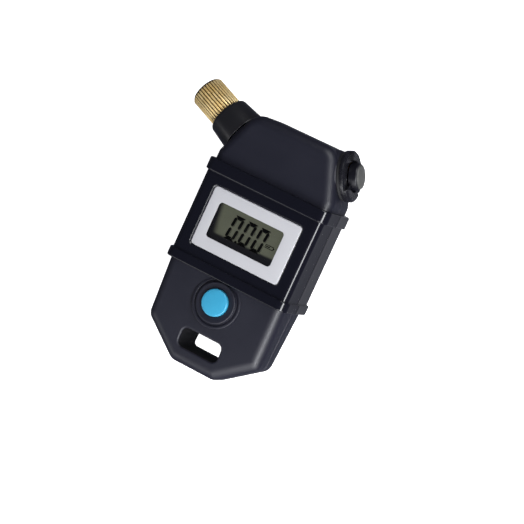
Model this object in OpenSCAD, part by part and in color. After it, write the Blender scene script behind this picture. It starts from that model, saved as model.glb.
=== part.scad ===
// Digital pressure gauge lying on its back, display up.
// X runs to the release valve's side, Y along the body towards the head,
// Z out of the display. Z = 0 is the plane that the back rests on.
// The display's centre lies on the line x = 0, y = 0 before the whole gauge
// is moved so that the middle of its box stands over the origin.

/* [Housing] */
// Width of the housing under the belt
housing_w = 46.6; // [46:0.2:48]
// Thickness of the housing, front to back
housing_t = 20.6; // [20:0.1:21.5]
// Thickness of the housing's wall
housing_wall = 1.8; // [1.4:0.1:2]
// Rounding of the outline's corners
corner_r = 4; // [3.6:0.1:5]
// Rounding of the front and back edges
edge_r = 3.5; // [2.6:0.1:3.7]
// Height of the parting plane between front and rear shells
parting_h = 13.1; // [12.8:0.1:13.4]

/* [Lower body] */
// From the display's centre to the lower end
lower_end_y = 51.2; // [50.4:0.1:54]
// Width of the flat lower end
lower_end_w = 17.4; // [13:0.2:20]
// From the display's centre to the lower corners
lower_corner_y = 40.3; // [39.6:0.1:41.4]
// How far each side draws in towards the lower corners
lower_draw = 0.4; // [0.2:0.1:1.2]
// How far the front has fallen at the lower end
tail_drop = 3.3; // [2:0.1:3.4]
// How far the back has risen at the lower end
tail_rise = 3.6; // [3:0.1:5]
// Width of the strap slot
slot_w = 15; // [11:0.5:16]
// Height of the strap slot
slot_h = 6; // [5:0.1:6.2]
// Rounding of the strap slot's corners
slot_r = 2; // [1:0.1:2.2]
// From the display's centre to the middle of the strap slot
slot_y = 41.8; // [41.6:0.1:42.6]
// Wall round the strap slot
slot_wall = 1.4; // [1.2:0.1:1.6]
// Flare of the strap slot's mouths
slot_flare = 0.8; // [0.4:0.1:1]

/* [Head] */
// From the display's centre to the top of the head
head_end_y = 39.5; // [39.2:0.1:42]
// How far each slanted face draws in towards the top of the head
head_draw = 7; // [6:0.1:8]
// Rounding of the head's two top corners
head_r = 7; // [5:0.1:8]
// From the display's centre to where the slanted faces start
head_corner_y = 22.4; // [22:0.1:25]
// From the display's centre to the chuck's middle on its slanted face
chuck_port_y = 30.4; // [30:0.1:31]
// From the display's centre to the release valve's middle on its slanted face
release_port_y = 32; // [31.4:0.1:32.4]
// Radius of the round pads on the slanted faces
pad_r = 8.4; // [8.2:0.1:8.8]
// How far those pads flare out where they meet the head
pad_flare = 0.9; // [0.5:0.1:1.2]

/* [Belt] */
// How far the belt stands out from the housing's sides
belt_proud_x = 0.4; // [0.2:0.05:0.8]
// How far the belt stands above the housing's front
belt_proud_front = 1.2; // [1:0.1:1.6]
// How far the belt stands behind the housing's back
belt_proud_back = 1.9; // [1.8:0.1:2.2]
// From the display's centre to the belt's lower edge
belt_low_y = 18.2; // [17.6:0.1:18.4]
// From the display's centre to the belt's upper edge
belt_high_y = 19.3; // [18.8:0.1:20]
// Height of the lower ridge
ridge_low_h = 3.6; // [2.6:0.1:4]
// Height of the upper ridge
ridge_high_h = 4.5; // [3:0.1:5]
// How far the ridges stand proud of the belt
ridge_proud = 0.9; // [0.5:0.1:1.2]
// How far the belt sinks into the housing's sides
belt_sunk_x = 0.6; // [0.4:0.05:0.8]
// How far the belt sinks into the housing's front and back
belt_sunk_z = 0.2; // [0.15:0.05:0.3]
// Rounding of the belt's long edges
belt_r = 2.4; // [1.6:0.1:3]
// Softening of the ridges' own edges
ridge_soft = 0.6; // [0.3:0.1:0.9]

/* [Display] */
// Width of the silver frame
frame_w = 35.2; // [34.6:0.2:38]
// Height of the silver frame
frame_h = 21.8; // [21.4:0.1:24]
// Rounding of the silver frame's corners
frame_r = 1.6; // [0.8:0.1:2.4]
// Thickness of the silver frame
frame_t = 0.8; // [0.6:0.05:1]
// How far the silver frame lies below the belt's front
frame_sunk = 0.3; // [0.1:0.05:0.4]
// Width of the view through the silver frame
view_w = 26; // [20:0.5:27]
// Height of the view through the silver frame
view_h = 13; // [10:0.5:14]
// Rounding of the view's corners
view_r = 1; // [0.5:0.1:1.6]
// Width of the clear window
window_w = 33.4; // [32.6:0.1:34]
// Height of the clear window
window_h = 20; // [19.2:0.1:20.4]
// Thickness of the clear window
window_t = 0.8; // [0.7:0.05:1]
// Width of the display's glass
glass_w = 30.4; // [28:0.2:31]
// Height of the display's glass
glass_h = 17; // [15:0.2:17.8]
// Thickness of the display's glass
glass_t = 2; // [1.6:0.1:2.2]
// Air gap between window and glass
glass_gap = 0.3; // [0.2:0.05:0.5]
// Width of the rubber contact strip
strip_w = 24; // [18:0.5:26]
// Thickness of the rubber contact strip
strip_t = 1.8; // [1.2:0.1:2.4]
// Width of the holder's rim round the contact strip and glass
holder_rim = 2.6; // [2:0.1:2.8]

/* [Power button] */
// From the display's centre to the middle of the button
button_y = 25.7; // [25.5:0.1:26.6]
// Radius of the button's cap
button_r = 4.8; // [4.4:0.1:5]
// How far the cap stands above the collar round it
button_proud = 1.2; // [0.8:0.1:1.3]
// How far the button travels
button_travel = 0.6; // [0.3:0.05:0.7]
// Outer radius of the collar round the button
collar_r = 7.3; // [7:0.1:7.6]
// How far the collar stands above the front under the belt
collar_proud = 0.8; // [0.6:0.1:1]
// Outer radius of the bead round the collar
bead_r = 9; // [8.8:0.1:9.3]
// Width of the bead
bead_w = 0.8; // [0.6:0.1:1]
// How far the bead lies below the collar
bead_drop = 0.4; // [0.2:0.05:0.6]
// Depth of the groove between collar and bead
bead_groove = 0.8; // [0.6:0.1:1]
// Thickness of the lip that keeps the button in the housing
lip_t = 1; // [0.8:0.1:1.2]
// Width of the square push switch
switch_w = 6; // [5:0.5:7]
// Radius of the push switch's plunger
plunger_r = 1.7; // [1.4:0.1:2]

/* [Circuit board] */
// Width of the circuit board
board_w = 34; // [33.4:0.1:34.6]
// Thickness of the circuit board
board_t = 1.2; // [0.8:0.1:1.6]
// Height of the board's back above the rest plane
board_z = 15.6; // [15.3:0.1:15.7]
// From the display's centre to the board's lower edge
board_low_y = 34.4; // [34:0.1:34.6]
// From the display's centre to the board's upper edge
board_high_y = 15.2; // [14.6:0.1:15.4]
// From the board's side edges to its screws
board_screw_in = 2.7; // [2.4:0.1:3]
// From the display's centre to the lower board screws
board_screw_low_y = 31.4; // [31:0.1:31.8]
// From the display's centre to the upper board screws
board_screw_high_y = 12.8; // [12.6:0.1:12.8]
// Radius of the board screws' shanks
board_screw_r = 0.9; // [0.7:0.05:1]

/* [Case screws] */
// Radius of the case screws' shanks
case_screw_r = 1; // [0.8:0.05:1.1]
// Radius of the case screws' heads
case_head_r = 1.9; // [1.7:0.05:2]
// Spacing of the lower case screws
case_low_dx = 30.6; // [29.8:0.2:31]
// From the display's centre to the lower case screws
case_low_y = 38.4; // [38.2:0.1:38.8]
// Spacing of the upper case screws
case_high_dx = 15.6; // [14.8:0.2:16]
// From the display's centre to the upper case screws
case_high_y = 35.6; // [35.4:0.1:36]
// Radius of the bosses round the case screws
boss_r = 2.9; // [2.6:0.1:3]

/* [Battery] */
// Radius of the coin cell
cell_r = 10; // [8:0.5:10]
// Thickness of the coin cell
cell_t = 3.2; // [2.5:0.1:3.2]
// Radius of the battery cover's plate
cover_r = 14; // [13.7:0.1:14.1]
// Thickness of the cup's wall round the cell
cup_wall = 0.9; // [0.8:0.05:1]
// Reach of the bayonet lugs beyond the cup
lug_reach = 1.1; // [0.8:0.1:1.2]
// Width of each bayonet lug as an angle
lug_angle = 30; // [20:1:36]
// Turn that frees the battery cover
cover_turn = 60; // [50:1:70]
// Length of the coin slot in the cover
coin_slot_l = 15; // [10:0.5:18]
// Width of the coin slot in the cover
coin_slot_w = 2; // [1.6:0.1:2.4]
// Depth of the coin slot in the cover
coin_slot_d = 0.9; // [0.6:0.1:1]
// Thickness of the cover's seal ring
cover_seal_t = 0.9; // [0.7:0.05:0.9]
// Land between the bayonet notches and the cover's seal ring
seal_land = 0.25; // [0.2:0.05:0.4]

/* [Chuck] */
// Radius of the tubes of the valve body
tube_r = 5.2; // [5:0.1:5.4]
// Radius of the air passages
passage_r = 1.5; // [1:0.1:1.6]
// Radius of the neck collar at the head
neck_r = 8.4; // [8:0.05:8.4]
// Radius of the neck collar at its outer end
neck_end_r = 7.4; // [7.3:0.05:7.9]
// Length of the neck collar
neck_l = 9.5; // [8.8:0.1:10.2]
// Groove between the neck collar and the head
neck_groove = 0.35; // [0.2:0.05:0.5]
// Radius of the knurled chuck over its ribs
chuck_r = 6.2; // [6:0.05:6.5]
// Length of the chuck outside the neck collar
chuck_l = 12.2; // [11.6:0.1:12.8]
// Number of knurled ribs
knurl_n = 34; // [30:1:40]
// Depth of the knurled grooves
knurl_d = 0.34; // [0.2:0.02:0.4]
// Radius of the chuck's threaded bore
thread_r = 3.9; // [3.6:0.05:4]
// Depth of the chuck's threaded bore
thread_l = 7.6; // [6:0.1:8.4]
// Radius of the chuck's spigot
spigot_r = 4; // [3.8:0.05:4]
// Length of the chuck's spigot in the valve body
spigot_l = 5.6; // [5.4:0.1:6]
// Radius of the rubber seal in the chuck
chuck_seal_r = 3.4; // [3:0.05:3.5]
// Thickness of the rubber seal in the chuck
chuck_seal_t = 1.5; // [1.2:0.1:1.6]
// Radius of the pin that opens the tyre valve
pin_r = 0.9; // [0.7:0.05:1]
// How far that pin ends below the rubber seal's face
pin_recess = 0.1; // [0:0.05:0.4]

/* [Release valve] */
// Radius of the washer under the nut
washer_r = 8.5; // [8.2:0.1:8.7]
// Thickness of the washer under the nut
washer_t = 1.1; // [0.9:0.1:1.2]
// Radius of the castellated nut
nut_r = 8.9; // [8.6:0.1:9.2]
// Thickness of the nut's base ring
nut_base_t = 1.7; // [1.4:0.1:1.9]
// Height of the nut's raised lobes above its base ring
nut_lobe_h = 1.1; // [1:0.1:1.4]
// Radius of the opening in the nut round the button
nut_open_r = 5.5; // [5.3:0.05:5.8]
// Half of the nut's wide finger gap, as an angle
nut_gap_half = 56; // [45:1:60]
// Width of the nut's two narrow slots, as an angle
nut_slot_angle = 10; // [8:1:14]
// Turn of the nut that puts its wide gap towards the front, as an angle
nut_gap_turn = 18; // [10:1:26]
// Angle between the nut's two narrow slots
nut_slot_apart = 44; // [36:1:50]
// Radius of the release button's cap
release_r = 4.75; // [4.4:0.05:4.9]
// Height of the release button's face above the head
release_face = 6.8; // [6.6:0.1:7.2]
// How far the release button travels
release_travel = 1.2; // [0.8:0.1:1.3]
// Radius of the release button's stem
stem_r = 1.7; // [1.5:0.05:1.75]
// Radius of the bore round the release spring
spring_bore_r = 4.2; // [4:0.05:4.3]
// Depth of that bore below the head's face
spring_bore_l = 8; // [7:0.1:8.6]
// Mean radius of the release spring
spring_r = 2.9; // [2.8:0.05:3.1]
// Radius of the spring's wire
wire_r = 0.35; // [0.25:0.05:0.4]
// Turns of the release spring
spring_turns = 7; // [5:1:8]
// Radius of the poppet at the stem's inner end
poppet_r = 2.8; // [2.6:0.05:2.9]
// Thickness of the poppet
poppet_t = 1.4; // [1:0.1:1.6]

/* [Fits] */
// Gap between faces that seat on each other
seat = 0.05; // [0.02:0.01:0.1]
// Side gap round pieces that drop into a pocket
slip = 0.12; // [0.08:0.01:0.16]
// Radial gap of turning and sliding fits
running = 0.05; // [0.02:0.01:0.08]

/* [Hidden] */
$fn = 48;
hull_fn = 32;
cut = 60;
skin = 0.01;
arc_steps = 5;

// Heights of the stacked faces
housing_lift = ridge_proud + belt_proud_back;
housing_front = housing_lift + housing_t;
housing_mid = housing_lift + housing_t / 2;
inner_back = housing_lift + housing_wall;
belt_back = ridge_proud;
belt_front = housing_front + belt_proud_front;
belt_t = belt_front + ridge_proud;
belt_w = housing_w + 2 * belt_proud_x;
lower_corner_w = housing_w - 2 * lower_draw;
frame_top = belt_front - frame_sunk;
frame_low = frame_top - frame_t;
window_top = frame_low - seat;
window_low = window_top - window_t;
glass_top = window_low - glass_gap;
glass_low = glass_top - glass_t;
board_top = board_z + board_t;
tail_l = lower_end_y - belt_low_y;
front_slope = tail_drop / tail_l;
back_slope = tail_rise / tail_l;
function past_belt(y) = max(0, -belt_low_y - y);
function front_at(y) = housing_front - front_slope * past_belt(y);
function back_at(y) = housing_lift + back_slope * past_belt(y);
board_corner_r = 1.5;
board_mid_y = (board_high_y - board_low_y) / 2;
board_h = board_high_y + board_low_y;
holder_low = board_top + seat;
holder_high = glass_low - seat;
belt_mid_y = (belt_high_y - belt_low_y) / 2;
belt_h = belt_high_y + belt_low_y;

// Slanted faces of the head and the axes that stand square on them
head_end_w = housing_w - 2 * head_draw;
port_angle = atan(head_draw / (head_end_y - head_corner_y));
function port_y(side) = side > 0 ? release_port_y : chuck_port_y;
function port_x(side) = housing_w / 2 - (port_y(side) - head_corner_y) * tan(port_angle);
function port_depth(side) = port_x(side) / cos(port_angle);
function axis_foot_y(side) = port_y(side) - port_x(side) * tan(port_angle);
junction_y = (axis_foot_y(-1) + axis_foot_y(1)) / 2;
fork_r = 1.4 * tube_r;
fork_half = 1.1 * tube_r;

// Chuck, measured outwards along its axis from the head's face
neck_end = neck_groove + neck_l;
chuck_low = neck_end + 0.2;
chuck_end = neck_end + chuck_l;
chuck_lip_l = 0.9;
chuck_lip_r = chuck_r - knurl_d - 0.25;
thread_low = chuck_end - thread_l;
chuck_seal_low = thread_low - seat - chuck_seal_t;
spigot_low = chuck_low - spigot_l;
left_tube_end = neck_end - 0.5;
pin_low = spigot_low + 1.6;
pin_end = chuck_seal_low + chuck_seal_t - pin_recess;
clip_z = spigot_low + 1.4;
clip_t = 0.7;
clip_grip = 0.5;
clip_reach = 0.5;
clip_gap_angle = 40;
ring_z = spigot_low + 3.4;
ring_wire_r = 0.5;

// Release valve, measured the same way on the other face
washer_low = seat;
nut_low = washer_low + washer_t + seat;
nut_lobe_low = nut_low + nut_base_t;
tube_in_nut = 0.5;
release_stop = 0.2;
right_tube_end = nut_low + tube_in_nut;
nut_bore_r = release_r + 0.25;
nut_shelf = right_tube_end - nut_low + seat;
release_cap_low = right_tube_end + release_travel + release_stop;
chamber_top = -spring_bore_l - 3.4;
chamber_r = poppet_r + 0.4;
fork_hollow_r = chamber_r + 0.4;
poppet_seal_t = 0.7;
poppet_top = chamber_top - poppet_seal_t - 2 * seat;
stem_low = poppet_top - poppet_t * 0.7;
spring_low = -spring_bore_l + seat;
spring_high = release_cap_low - seat;

// Outer edge of the wall round the strap slot, on its lower side
slot_wall_y = -slot_y - slot_h / 2 - slot_wall;

// Power button and its switch
collar_top = housing_front + collar_proud;
bead_top = collar_top - bead_drop;
bead_foot = bead_top - bead_groove;
surround_low = front_at(-button_y - bead_r) - housing_wall;
button_top = collar_top + button_proud;
lip_top = surround_low - seat;
lip_low = lip_top - lip_t;
lip_r = button_r + 1.2;
switch_low = board_top + seat;
plunger_top = lip_low - 0.2;
switch_high = plunger_top - button_travel - 0.3;
plunger_low = switch_low + 0.35 + button_travel;

// Battery cover, measured up from the rest plane
cover_low = belt_back + seat;
cover_high = housing_lift + belt_sunk_z - seat;
cell_low = cover_high + seat;
cell_high = cell_low + cell_t;
cell_step_h = 0.3;
cell_step_w = 1.2;
leaf_t = 0.3;
leaf_w = 4;
plus_leg_x = cell_r + 2 * slip + leaf_w / 2;
plus_foot_x = cell_r - 0.75 * cell_step_w;
minus_leg_x = 0.6 * cell_r;
minus_foot_x = 0.1 * cell_r;
cup_in_r = cell_r + slip;
cup_r = cup_in_r + cup_wall;
lug_low = inner_back + slip;
lug_high = lug_low + 0.9;
lug_r = cup_r + lug_reach;
cup_high = lug_high + 0.1;
cover_seal_r = lug_r + slip + seal_land + cover_seal_t / 2;

// Pressure sensor below the board, its nozzle in the valve body
sensor_w = 9;
sensor_h = 7;
sensor_drop = 3.2;
sensor_edge = 1.2;
sensor_bore_l = 2;
sensor_high = board_z - seat;
sensor_low = housing_mid - sensor_drop;
sensor_high_y = board_high_y - sensor_edge;
nozzle_r = 1.6;
nozzle_bore_r = 0.6;
nozzle_l = 4.2;
nozzle_root = 0.5;
nozzle_end_y = sensor_high_y + nozzle_l;
socket_gap = 1.1;
socket_wall = 1.3;
socket_end_gap = 0.3;
socket_r = nozzle_r + socket_gap;
socket_tube_r = socket_r + socket_wall;
socket_low_y = board_high_y + slip;
socket_high_y = nozzle_end_y + socket_end_gap;
sensor_seal_r = (nozzle_r + socket_r) / 2;
sensor_seal_wire_r = (socket_r - nozzle_r) / 2 - running;

// Middle of the gauge's box, which goes over the origin
left_reach = port_x(-1) + max(chuck_end * cos(port_angle) + chuck_lip_r * sin(port_angle),
    (chuck_end - chuck_lip_l) * cos(port_angle) + chuck_r * sin(port_angle));
right_reach = port_x(1) + max(release_face * cos(port_angle) + (release_r - 0.6) * sin(port_angle),
    (nut_lobe_low + nut_lobe_h) * cos(port_angle) + nut_r * sin(port_angle) - 0.2,
    (release_face - 0.6) * cos(port_angle) + release_r * sin(port_angle));
top_reach = max(head_end_y,
    chuck_port_y + chuck_end * sin(port_angle) + chuck_lip_r * cos(port_angle),
    chuck_port_y + (chuck_end - chuck_lip_l) * sin(port_angle) + chuck_r * cos(port_angle));
origin_x = (right_reach - left_reach) / 2;
origin_y = (top_reach - lower_end_y) / 2;

// Places of the screws
case_screw_places = [
    for (side = [-1, 1]) [side * case_low_dx / 2, -case_low_y],
    for (side = [-1, 1]) [side * case_high_dx / 2, case_high_y]];
board_screw_places = [
    for (side = [-1, 1]) [side * (board_w / 2 - board_screw_in), -board_screw_low_y],
    for (side = [-1, 1]) [side * (board_w / 2 - board_screw_in), board_screw_high_y]];
case_head_t = 1.2;
case_head_sunk = 0.4;
function case_head_low(p) = back_at(p.y) + case_head_sunk;
function case_head_high(p) = case_head_low(p) + case_head_t;
case_screw_grip = 5;
boss_sunk = 0.3;
function boss_high(p) = front_at(p.y) - housing_wall + boss_sunk;
function boss_low(p) = back_at(p.y) + housing_wall - boss_sunk;
case_screw_end = parting_h + case_screw_grip;
case_hole_spare = 0.5;
cross_l = 1.2 * case_head_r;
cross_w = 0.5;
cross_d = 0.6;
board_head_reach = 0.9;
board_head_r = board_screw_r + board_head_reach;
board_head_t = 1;
board_screw_grip = 3;
board_screw_end = board_top + board_screw_grip;
board_hole_spare = 0.4;
standoff_wall = 1.3;
standoff_r = board_screw_r + standoff_wall;

// Corners of the housing's outline, counter-clockwise
half_outline = [
    [lower_end_w / 2, -lower_end_y],
    [lower_corner_w / 2, -lower_corner_y],
    [housing_w / 2, -belt_low_y],
    [housing_w / 2, head_corner_y],
    [head_end_w / 2, head_end_y]];
outline_n = 2 * len(half_outline);
outline = [for (i = [0 : outline_n - 1])
    i < len(half_outline) ? half_outline[i]
        : [-half_outline[outline_n - 1 - i].x, half_outline[outline_n - 1 - i].y]];

// Moves a piece so that the middle of the box stands over the origin
module placed() {
    translate([-origin_x, -origin_y, 0]) children();
}

// Puts +Z along the axis of a slanted face, from its middle outwards
module at_port(side) {
    translate([side * port_x(side), port_y(side), housing_mid])
        rotate([0, 0, side > 0 ? port_angle : 180 - port_angle])
            rotate([0, 90, 0]) children();
}

// Puts +Z along the gauge's own Y axis
module along_y(y) {
    translate([0, y, 0]) rotate([-90, 0, 0]) children();
}

module rounded_rect(w, h, r) {
    square([w - 2 * r, h], center = true);
    square([w, h - 2 * r], center = true);
    for (x = [-1, 1], y = [-1, 1])
        translate([x * (w / 2 - r), y * (h / 2 - r)]) circle(r);
}

module ring(r_in, r_out, h) {
    difference() {
        cylinder(r = r_out, h = h);
        translate([0, 0, -cut]) cylinder(r = r_in, h = 2 * cut);
    }
}

// A sector of a disc, centred on the angle mid
module sector(r, mid, width, h) {
    rotate([0, 0, mid - width / 2]) rotate_extrude(angle = width) square([r, h]);
}

function unit(v) = v / norm(v);
function inward(a, b) = let (d = unit(b - a)) [-d.y, d.x];
function inset_corner(a, b, c, r) =
    let (m = inward(a, b), n = inward(b, c)) b + r * (m + n) / (1 + m * n);
function round_at(i) = abs(i - len(half_outline) + 0.5) < 1 ? head_r : corner_r;
function post_place(i) = inset_corner(outline[(i + outline_n - 1) % outline_n], outline[i],
    outline[(i + 1) % outline_n], round_at(i));

// Half section of a post with rounded ends
function post_section(r, low, high, e) = concat(
    [[0, low]],
    [for (i = [0 : arc_steps]) let (a = -90 + 90 * i / arc_steps)
        [r - e + e * cos(a), low + e + e * sin(a)]],
    [for (i = [0 : arc_steps]) let (a = 90 * i / arc_steps)
        [r - e + e * cos(a), high - e + e * sin(a)]],
    [[0, high]]);

// The housing's rounded form, drawn in by the distance wall
module housing_form(wall) {
    hull() for (i = [0 : outline_n - 1]) let (p = post_place(i))
        translate(p) rotate_extrude($fn = hull_fn)
            polygon(post_section(round_at(i) - wall, back_at(p.y) + wall,
                front_at(p.y) - wall, edge_r - wall));
}

module above_parting() {
    translate([-cut, -cut, parting_h]) cube([2 * cut, 2 * cut, cut]);
}

module below_parting() {
    translate([-cut, -cut, parting_h - seat - cut]) cube([2 * cut, 2 * cut, cut]);
}

// Round pads that carry the neck collar and the release valve
module port_pads() {
    for (side = [-1, 1]) at_port(side) rotate_extrude() polygon([
        [0, -pad_r / 2], [pad_r + pad_flare, -pad_r / 2],
        [pad_r + 0.6 * pad_flare, -1.3 * pad_flare], [pad_r + 0.2 * pad_flare, -0.3 * pad_flare],
        [pad_r - 0.2 * pad_flare, 0], [0, 0]]);
}

module port_holes() {
    for (side = [-1, 1]) at_port(side) translate([0, 0, -pad_r])
        cylinder(r = tube_r + slip, h = 2 * pad_r);
}

module slot_column(grow, low, high) {
    translate([0, 0, min(low, high)]) linear_extrude(abs(high - low))
        rounded_rect(slot_w + 2 * grow, slot_h + 2 * grow, slot_r + grow);
}

// Flared mouth of the strap slot, square to a sloping face at the height z
module slot_mouth(z, up, slope) {
    translate([0, -slot_y, z]) rotate([atan(slope), 0, 0]) hull() {
        slot_column(slot_flare, 0, up * slot_flare);
        slot_column(0, -up * slot_flare, -up * (slot_flare - skin));
    }
}

module front_shell() {
    color([0.14, 0.14, 0.17]) difference() {
        union() {
            difference() {
                intersection() {
                    union() {
                        housing_form(0);
                        port_pads();
                    }
                    above_parting();
                }
                housing_form(housing_wall);
            }
            translate([0, -slot_y, 0])
                slot_column(slot_wall, parting_h, front_at(slot_wall_y) - seat);
            for (p = case_screw_places) translate([p.x, p.y, parting_h])
                cylinder(r = boss_r, h = boss_high(p) - parting_h);
            for (p = board_screw_places) translate([p.x, p.y, board_top + seat])
                cylinder(r = standoff_r, h = boss_high(p) - board_top - seat);
            translate([0, -button_y, 0]) button_surround();
        }
        belt_groove();
        translate([0, -slot_y, 0]) slot_column(0, 0, cut);
        slot_mouth(front_at(-slot_y), 1, front_slope);
        port_holes();
        for (p = case_screw_places) translate([p.x, p.y, 0])
            cylinder(r = case_screw_r + running, h = case_screw_end + case_hole_spare);
        for (p = board_screw_places) translate([p.x, p.y, 0])
            cylinder(r = board_screw_r + running, h = board_screw_end + board_hole_spare);
        translate([0, -button_y, 0]) cylinder(r = button_r + slip, h = cut);
        translate([0, 0, window_low - seat]) linear_extrude(cut)
            rounded_rect(window_w + 2 * slip, window_h + 2 * slip, frame_r);
        translate([-glass_w / 2 - slip, -glass_h / 2 - slip, parting_h])
            cube([glass_w + 2 * slip, glass_h + 2 * slip, cut]);
    }
}

// Collar round the power button, a groove and the bead round it
module button_surround() {
    soft = 0.4;
    rotate_extrude() polygon([
        [button_r, surround_low], [bead_r, surround_low],
        [bead_r, bead_top - soft], [bead_r - 0.3 * soft, bead_top - 0.3 * soft],
        [bead_r - soft, bead_top], [bead_r - bead_w, bead_top], [bead_r - bead_w, bead_foot],
        [collar_r, bead_foot], [collar_r, collar_top - soft],
        [collar_r - 0.3 * soft, collar_top - 0.3 * soft],
        [collar_r - soft, collar_top], [button_r, collar_top]]);
}

module rear_shell() {
    color([0.14, 0.14, 0.17]) difference() {
        union() {
            difference() {
                intersection() {
                    union() {
                        housing_form(0);
                        port_pads();
                    }
                    below_parting();
                }
                housing_form(housing_wall);
            }
            translate([0, -slot_y, 0])
                slot_column(slot_wall, back_at(slot_wall_y) + seat, parting_h - seat);
            for (p = case_screw_places) translate([p.x, p.y, boss_low(p)])
                cylinder(r = boss_r, h = parting_h - seat - boss_low(p));
        }
        belt_groove();
        translate([0, -slot_y, 0]) slot_column(0, 0, cut);
        slot_mouth(back_at(-slot_y), -1, -back_slope);
        port_holes();
        for (p = case_screw_places) translate([p.x, p.y, 0]) {
            cylinder(r = case_screw_r + slip, h = cut);
            cylinder(r = case_head_r + slip, h = case_head_high(p) + seat);
        }
        translate([0, belt_mid_y, 0]) {
            cylinder(r = cup_r + slip, h = cut);
            for (side = [0, 180])
                sector(lug_r + slip, side + cover_turn, lug_angle + 4, inner_back + seat);
        }
    }
}

// Section of the housing where the belt sits, drawn out by the distance grow
module belt_seat_section(grow) {
    translate([0, -housing_mid]) rounded_rect(housing_w - 2 * belt_sunk_x + 2 * grow,
        housing_t - 2 * belt_sunk_z + 2 * grow, edge_r + grow);
}

// Shallow groove round the housing that the belt sinks into
module belt_groove() {
    along_y(-belt_low_y - seat) linear_extrude(belt_h + 2 * seat) difference() {
        square(2 * cut, center = true);
        belt_seat_section(0);
    }
}

// Belt round the housing: a plain band with a ridge along each edge
module belt_run(y, h, w, t, r) {
    along_y(y) linear_extrude(h) translate([0, -belt_t / 2]) rounded_rect(w, t, r);
}

// A ridge is its run along the body, softened as seen from the front and from the side
module ridge(y, h) {
    w = belt_w + 2 * ridge_proud;
    intersection() {
        belt_run(y, h, w, belt_t, belt_r + ridge_proud);
        translate([0, y + h / 2, 0]) linear_extrude(belt_t) rounded_rect(w, h, ridge_soft);
        translate([-w / 2, y + h / 2, belt_t / 2]) rotate([90, 0, 90]) linear_extrude(w)
            rounded_rect(h, belt_t, ridge_soft);
    }
}

module belt_form() {
    difference() {
        union() {
            belt_run(ridge_low_h / 2 - belt_low_y, belt_h - (ridge_low_h + ridge_high_h) / 2,
                belt_w, belt_t - 2 * ridge_proud, belt_r);
            ridge(-belt_low_y, ridge_low_h);
            ridge(belt_high_y - ridge_high_h, ridge_high_h);
        }
        along_y(-belt_low_y - 1) linear_extrude(belt_h + 2) belt_seat_section(seat);
    }
}

module display_bezel() {
    color([0.08, 0.08, 0.1]) difference() {
        intersection() {
            belt_form();
            above_parting();
        }
        translate([0, 0, frame_low - seat]) linear_extrude(cut)
            rounded_rect(frame_w + 2 * slip, frame_h + 2 * slip, frame_r + slip);
        linear_extrude(cut)
            rounded_rect(window_w + 2 * slip, window_h + 2 * slip, frame_r);
    }
}

module rear_band() {
    color([0.08, 0.08, 0.1]) difference() {
        intersection() {
            belt_form();
            below_parting();
        }
        translate([0, belt_mid_y, 0]) cylinder(r = cover_r + slip, h = cut);
    }
}

module silver_frame() {
    color([0.8, 0.8, 0.83]) translate([0, 0, frame_low]) difference() {
        linear_extrude(frame_t) rounded_rect(frame_w, frame_h, frame_r);
        translate([0, 0, -cut / 2]) linear_extrude(cut) rounded_rect(view_w, view_h, view_r);
    }
}

module display_window() {
    color([0.8, 0.85, 0.85, 0.4]) translate([0, 0, window_low])
        linear_extrude(window_t) rounded_rect(window_w, window_h, frame_r - slip);
}

module display_glass() {
    ledge = 1.6;
    color([0.36, 0.38, 0.33]) union() {
        translate([-glass_w / 2, -glass_h / 2, glass_low]) cube([glass_w, glass_h, glass_t / 2]);
        translate([-glass_w / 2, -glass_h / 2 + ledge, glass_low])
            cube([glass_w, glass_h - ledge, glass_t]);
    }
}

module display_holder() {
    color([0.85, 0.85, 0.82]) translate([0, 0, holder_low]) difference() {
        translate([-glass_w / 2, -glass_h / 2, 0])
            cube([glass_w, glass_h, holder_high - holder_low]);
        translate([-glass_w / 2 + holder_rim, -glass_h / 2 + holder_rim, -1])
            cube([glass_w - 2 * holder_rim, glass_h - 2 * holder_rim, cut]);
    }
}

module contact_strip() {
    color([0.2, 0.2, 0.22])
        translate([-strip_w / 2, -glass_h / 2 + holder_rim + slip, holder_low])
            cube([strip_w, strip_t, holder_high - holder_low]);
}

module circuit_board() {
    color([0.1, 0.35, 0.2]) difference() {
        translate([0, board_mid_y, board_z]) linear_extrude(board_t)
            rounded_rect(board_w, board_h, board_corner_r);
        for (p = board_screw_places) translate([p.x, p.y, 0])
            cylinder(r = board_screw_r + slip, h = cut);
    }
}

module board_screws() {
    color([0.75, 0.76, 0.78]) for (p = board_screw_places) translate([p.x, p.y, 0]) {
        translate([0, 0, board_z - seat - board_head_t])
            cylinder(r = board_head_r, h = board_head_t);
        translate([0, 0, board_z - seat - skin])
            cylinder(r = board_screw_r, h = board_screw_end - board_z);
    }
}

module case_screws() {
    color([0.75, 0.76, 0.78]) for (p = case_screw_places) translate([p.x, p.y, 0]) difference() {
        union() {
            translate([0, 0, case_head_low(p)]) cylinder(r = case_head_r, h = case_head_t);
            translate([0, 0, case_head_high(p) - skin])
                cylinder(r = case_screw_r, h = case_screw_end - case_head_high(p));
        }
        for (turn = [0, 90]) rotate([0, 0, turn])
            translate([-cross_l / 2, -cross_w / 2, case_head_low(p) - cut])
                cube([cross_l, cross_w, cut + cross_d]);
    }
}

module push_switch() {
    color([0.12, 0.12, 0.13]) translate([0, -button_y, 0]) difference() {
        translate([-switch_w / 2, -switch_w / 2, switch_low])
            cube([switch_w, switch_w, switch_high - switch_low]);
        translate([0, 0, plunger_low - button_travel - 0.2])
            cylinder(r = plunger_r + running, h = cut);
    }
}

module switch_plunger() {
    color([0.75, 0.2, 0.15]) translate([0, -button_y, plunger_low])
        cylinder(r = plunger_r, h = plunger_top - plunger_low);
}

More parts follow.
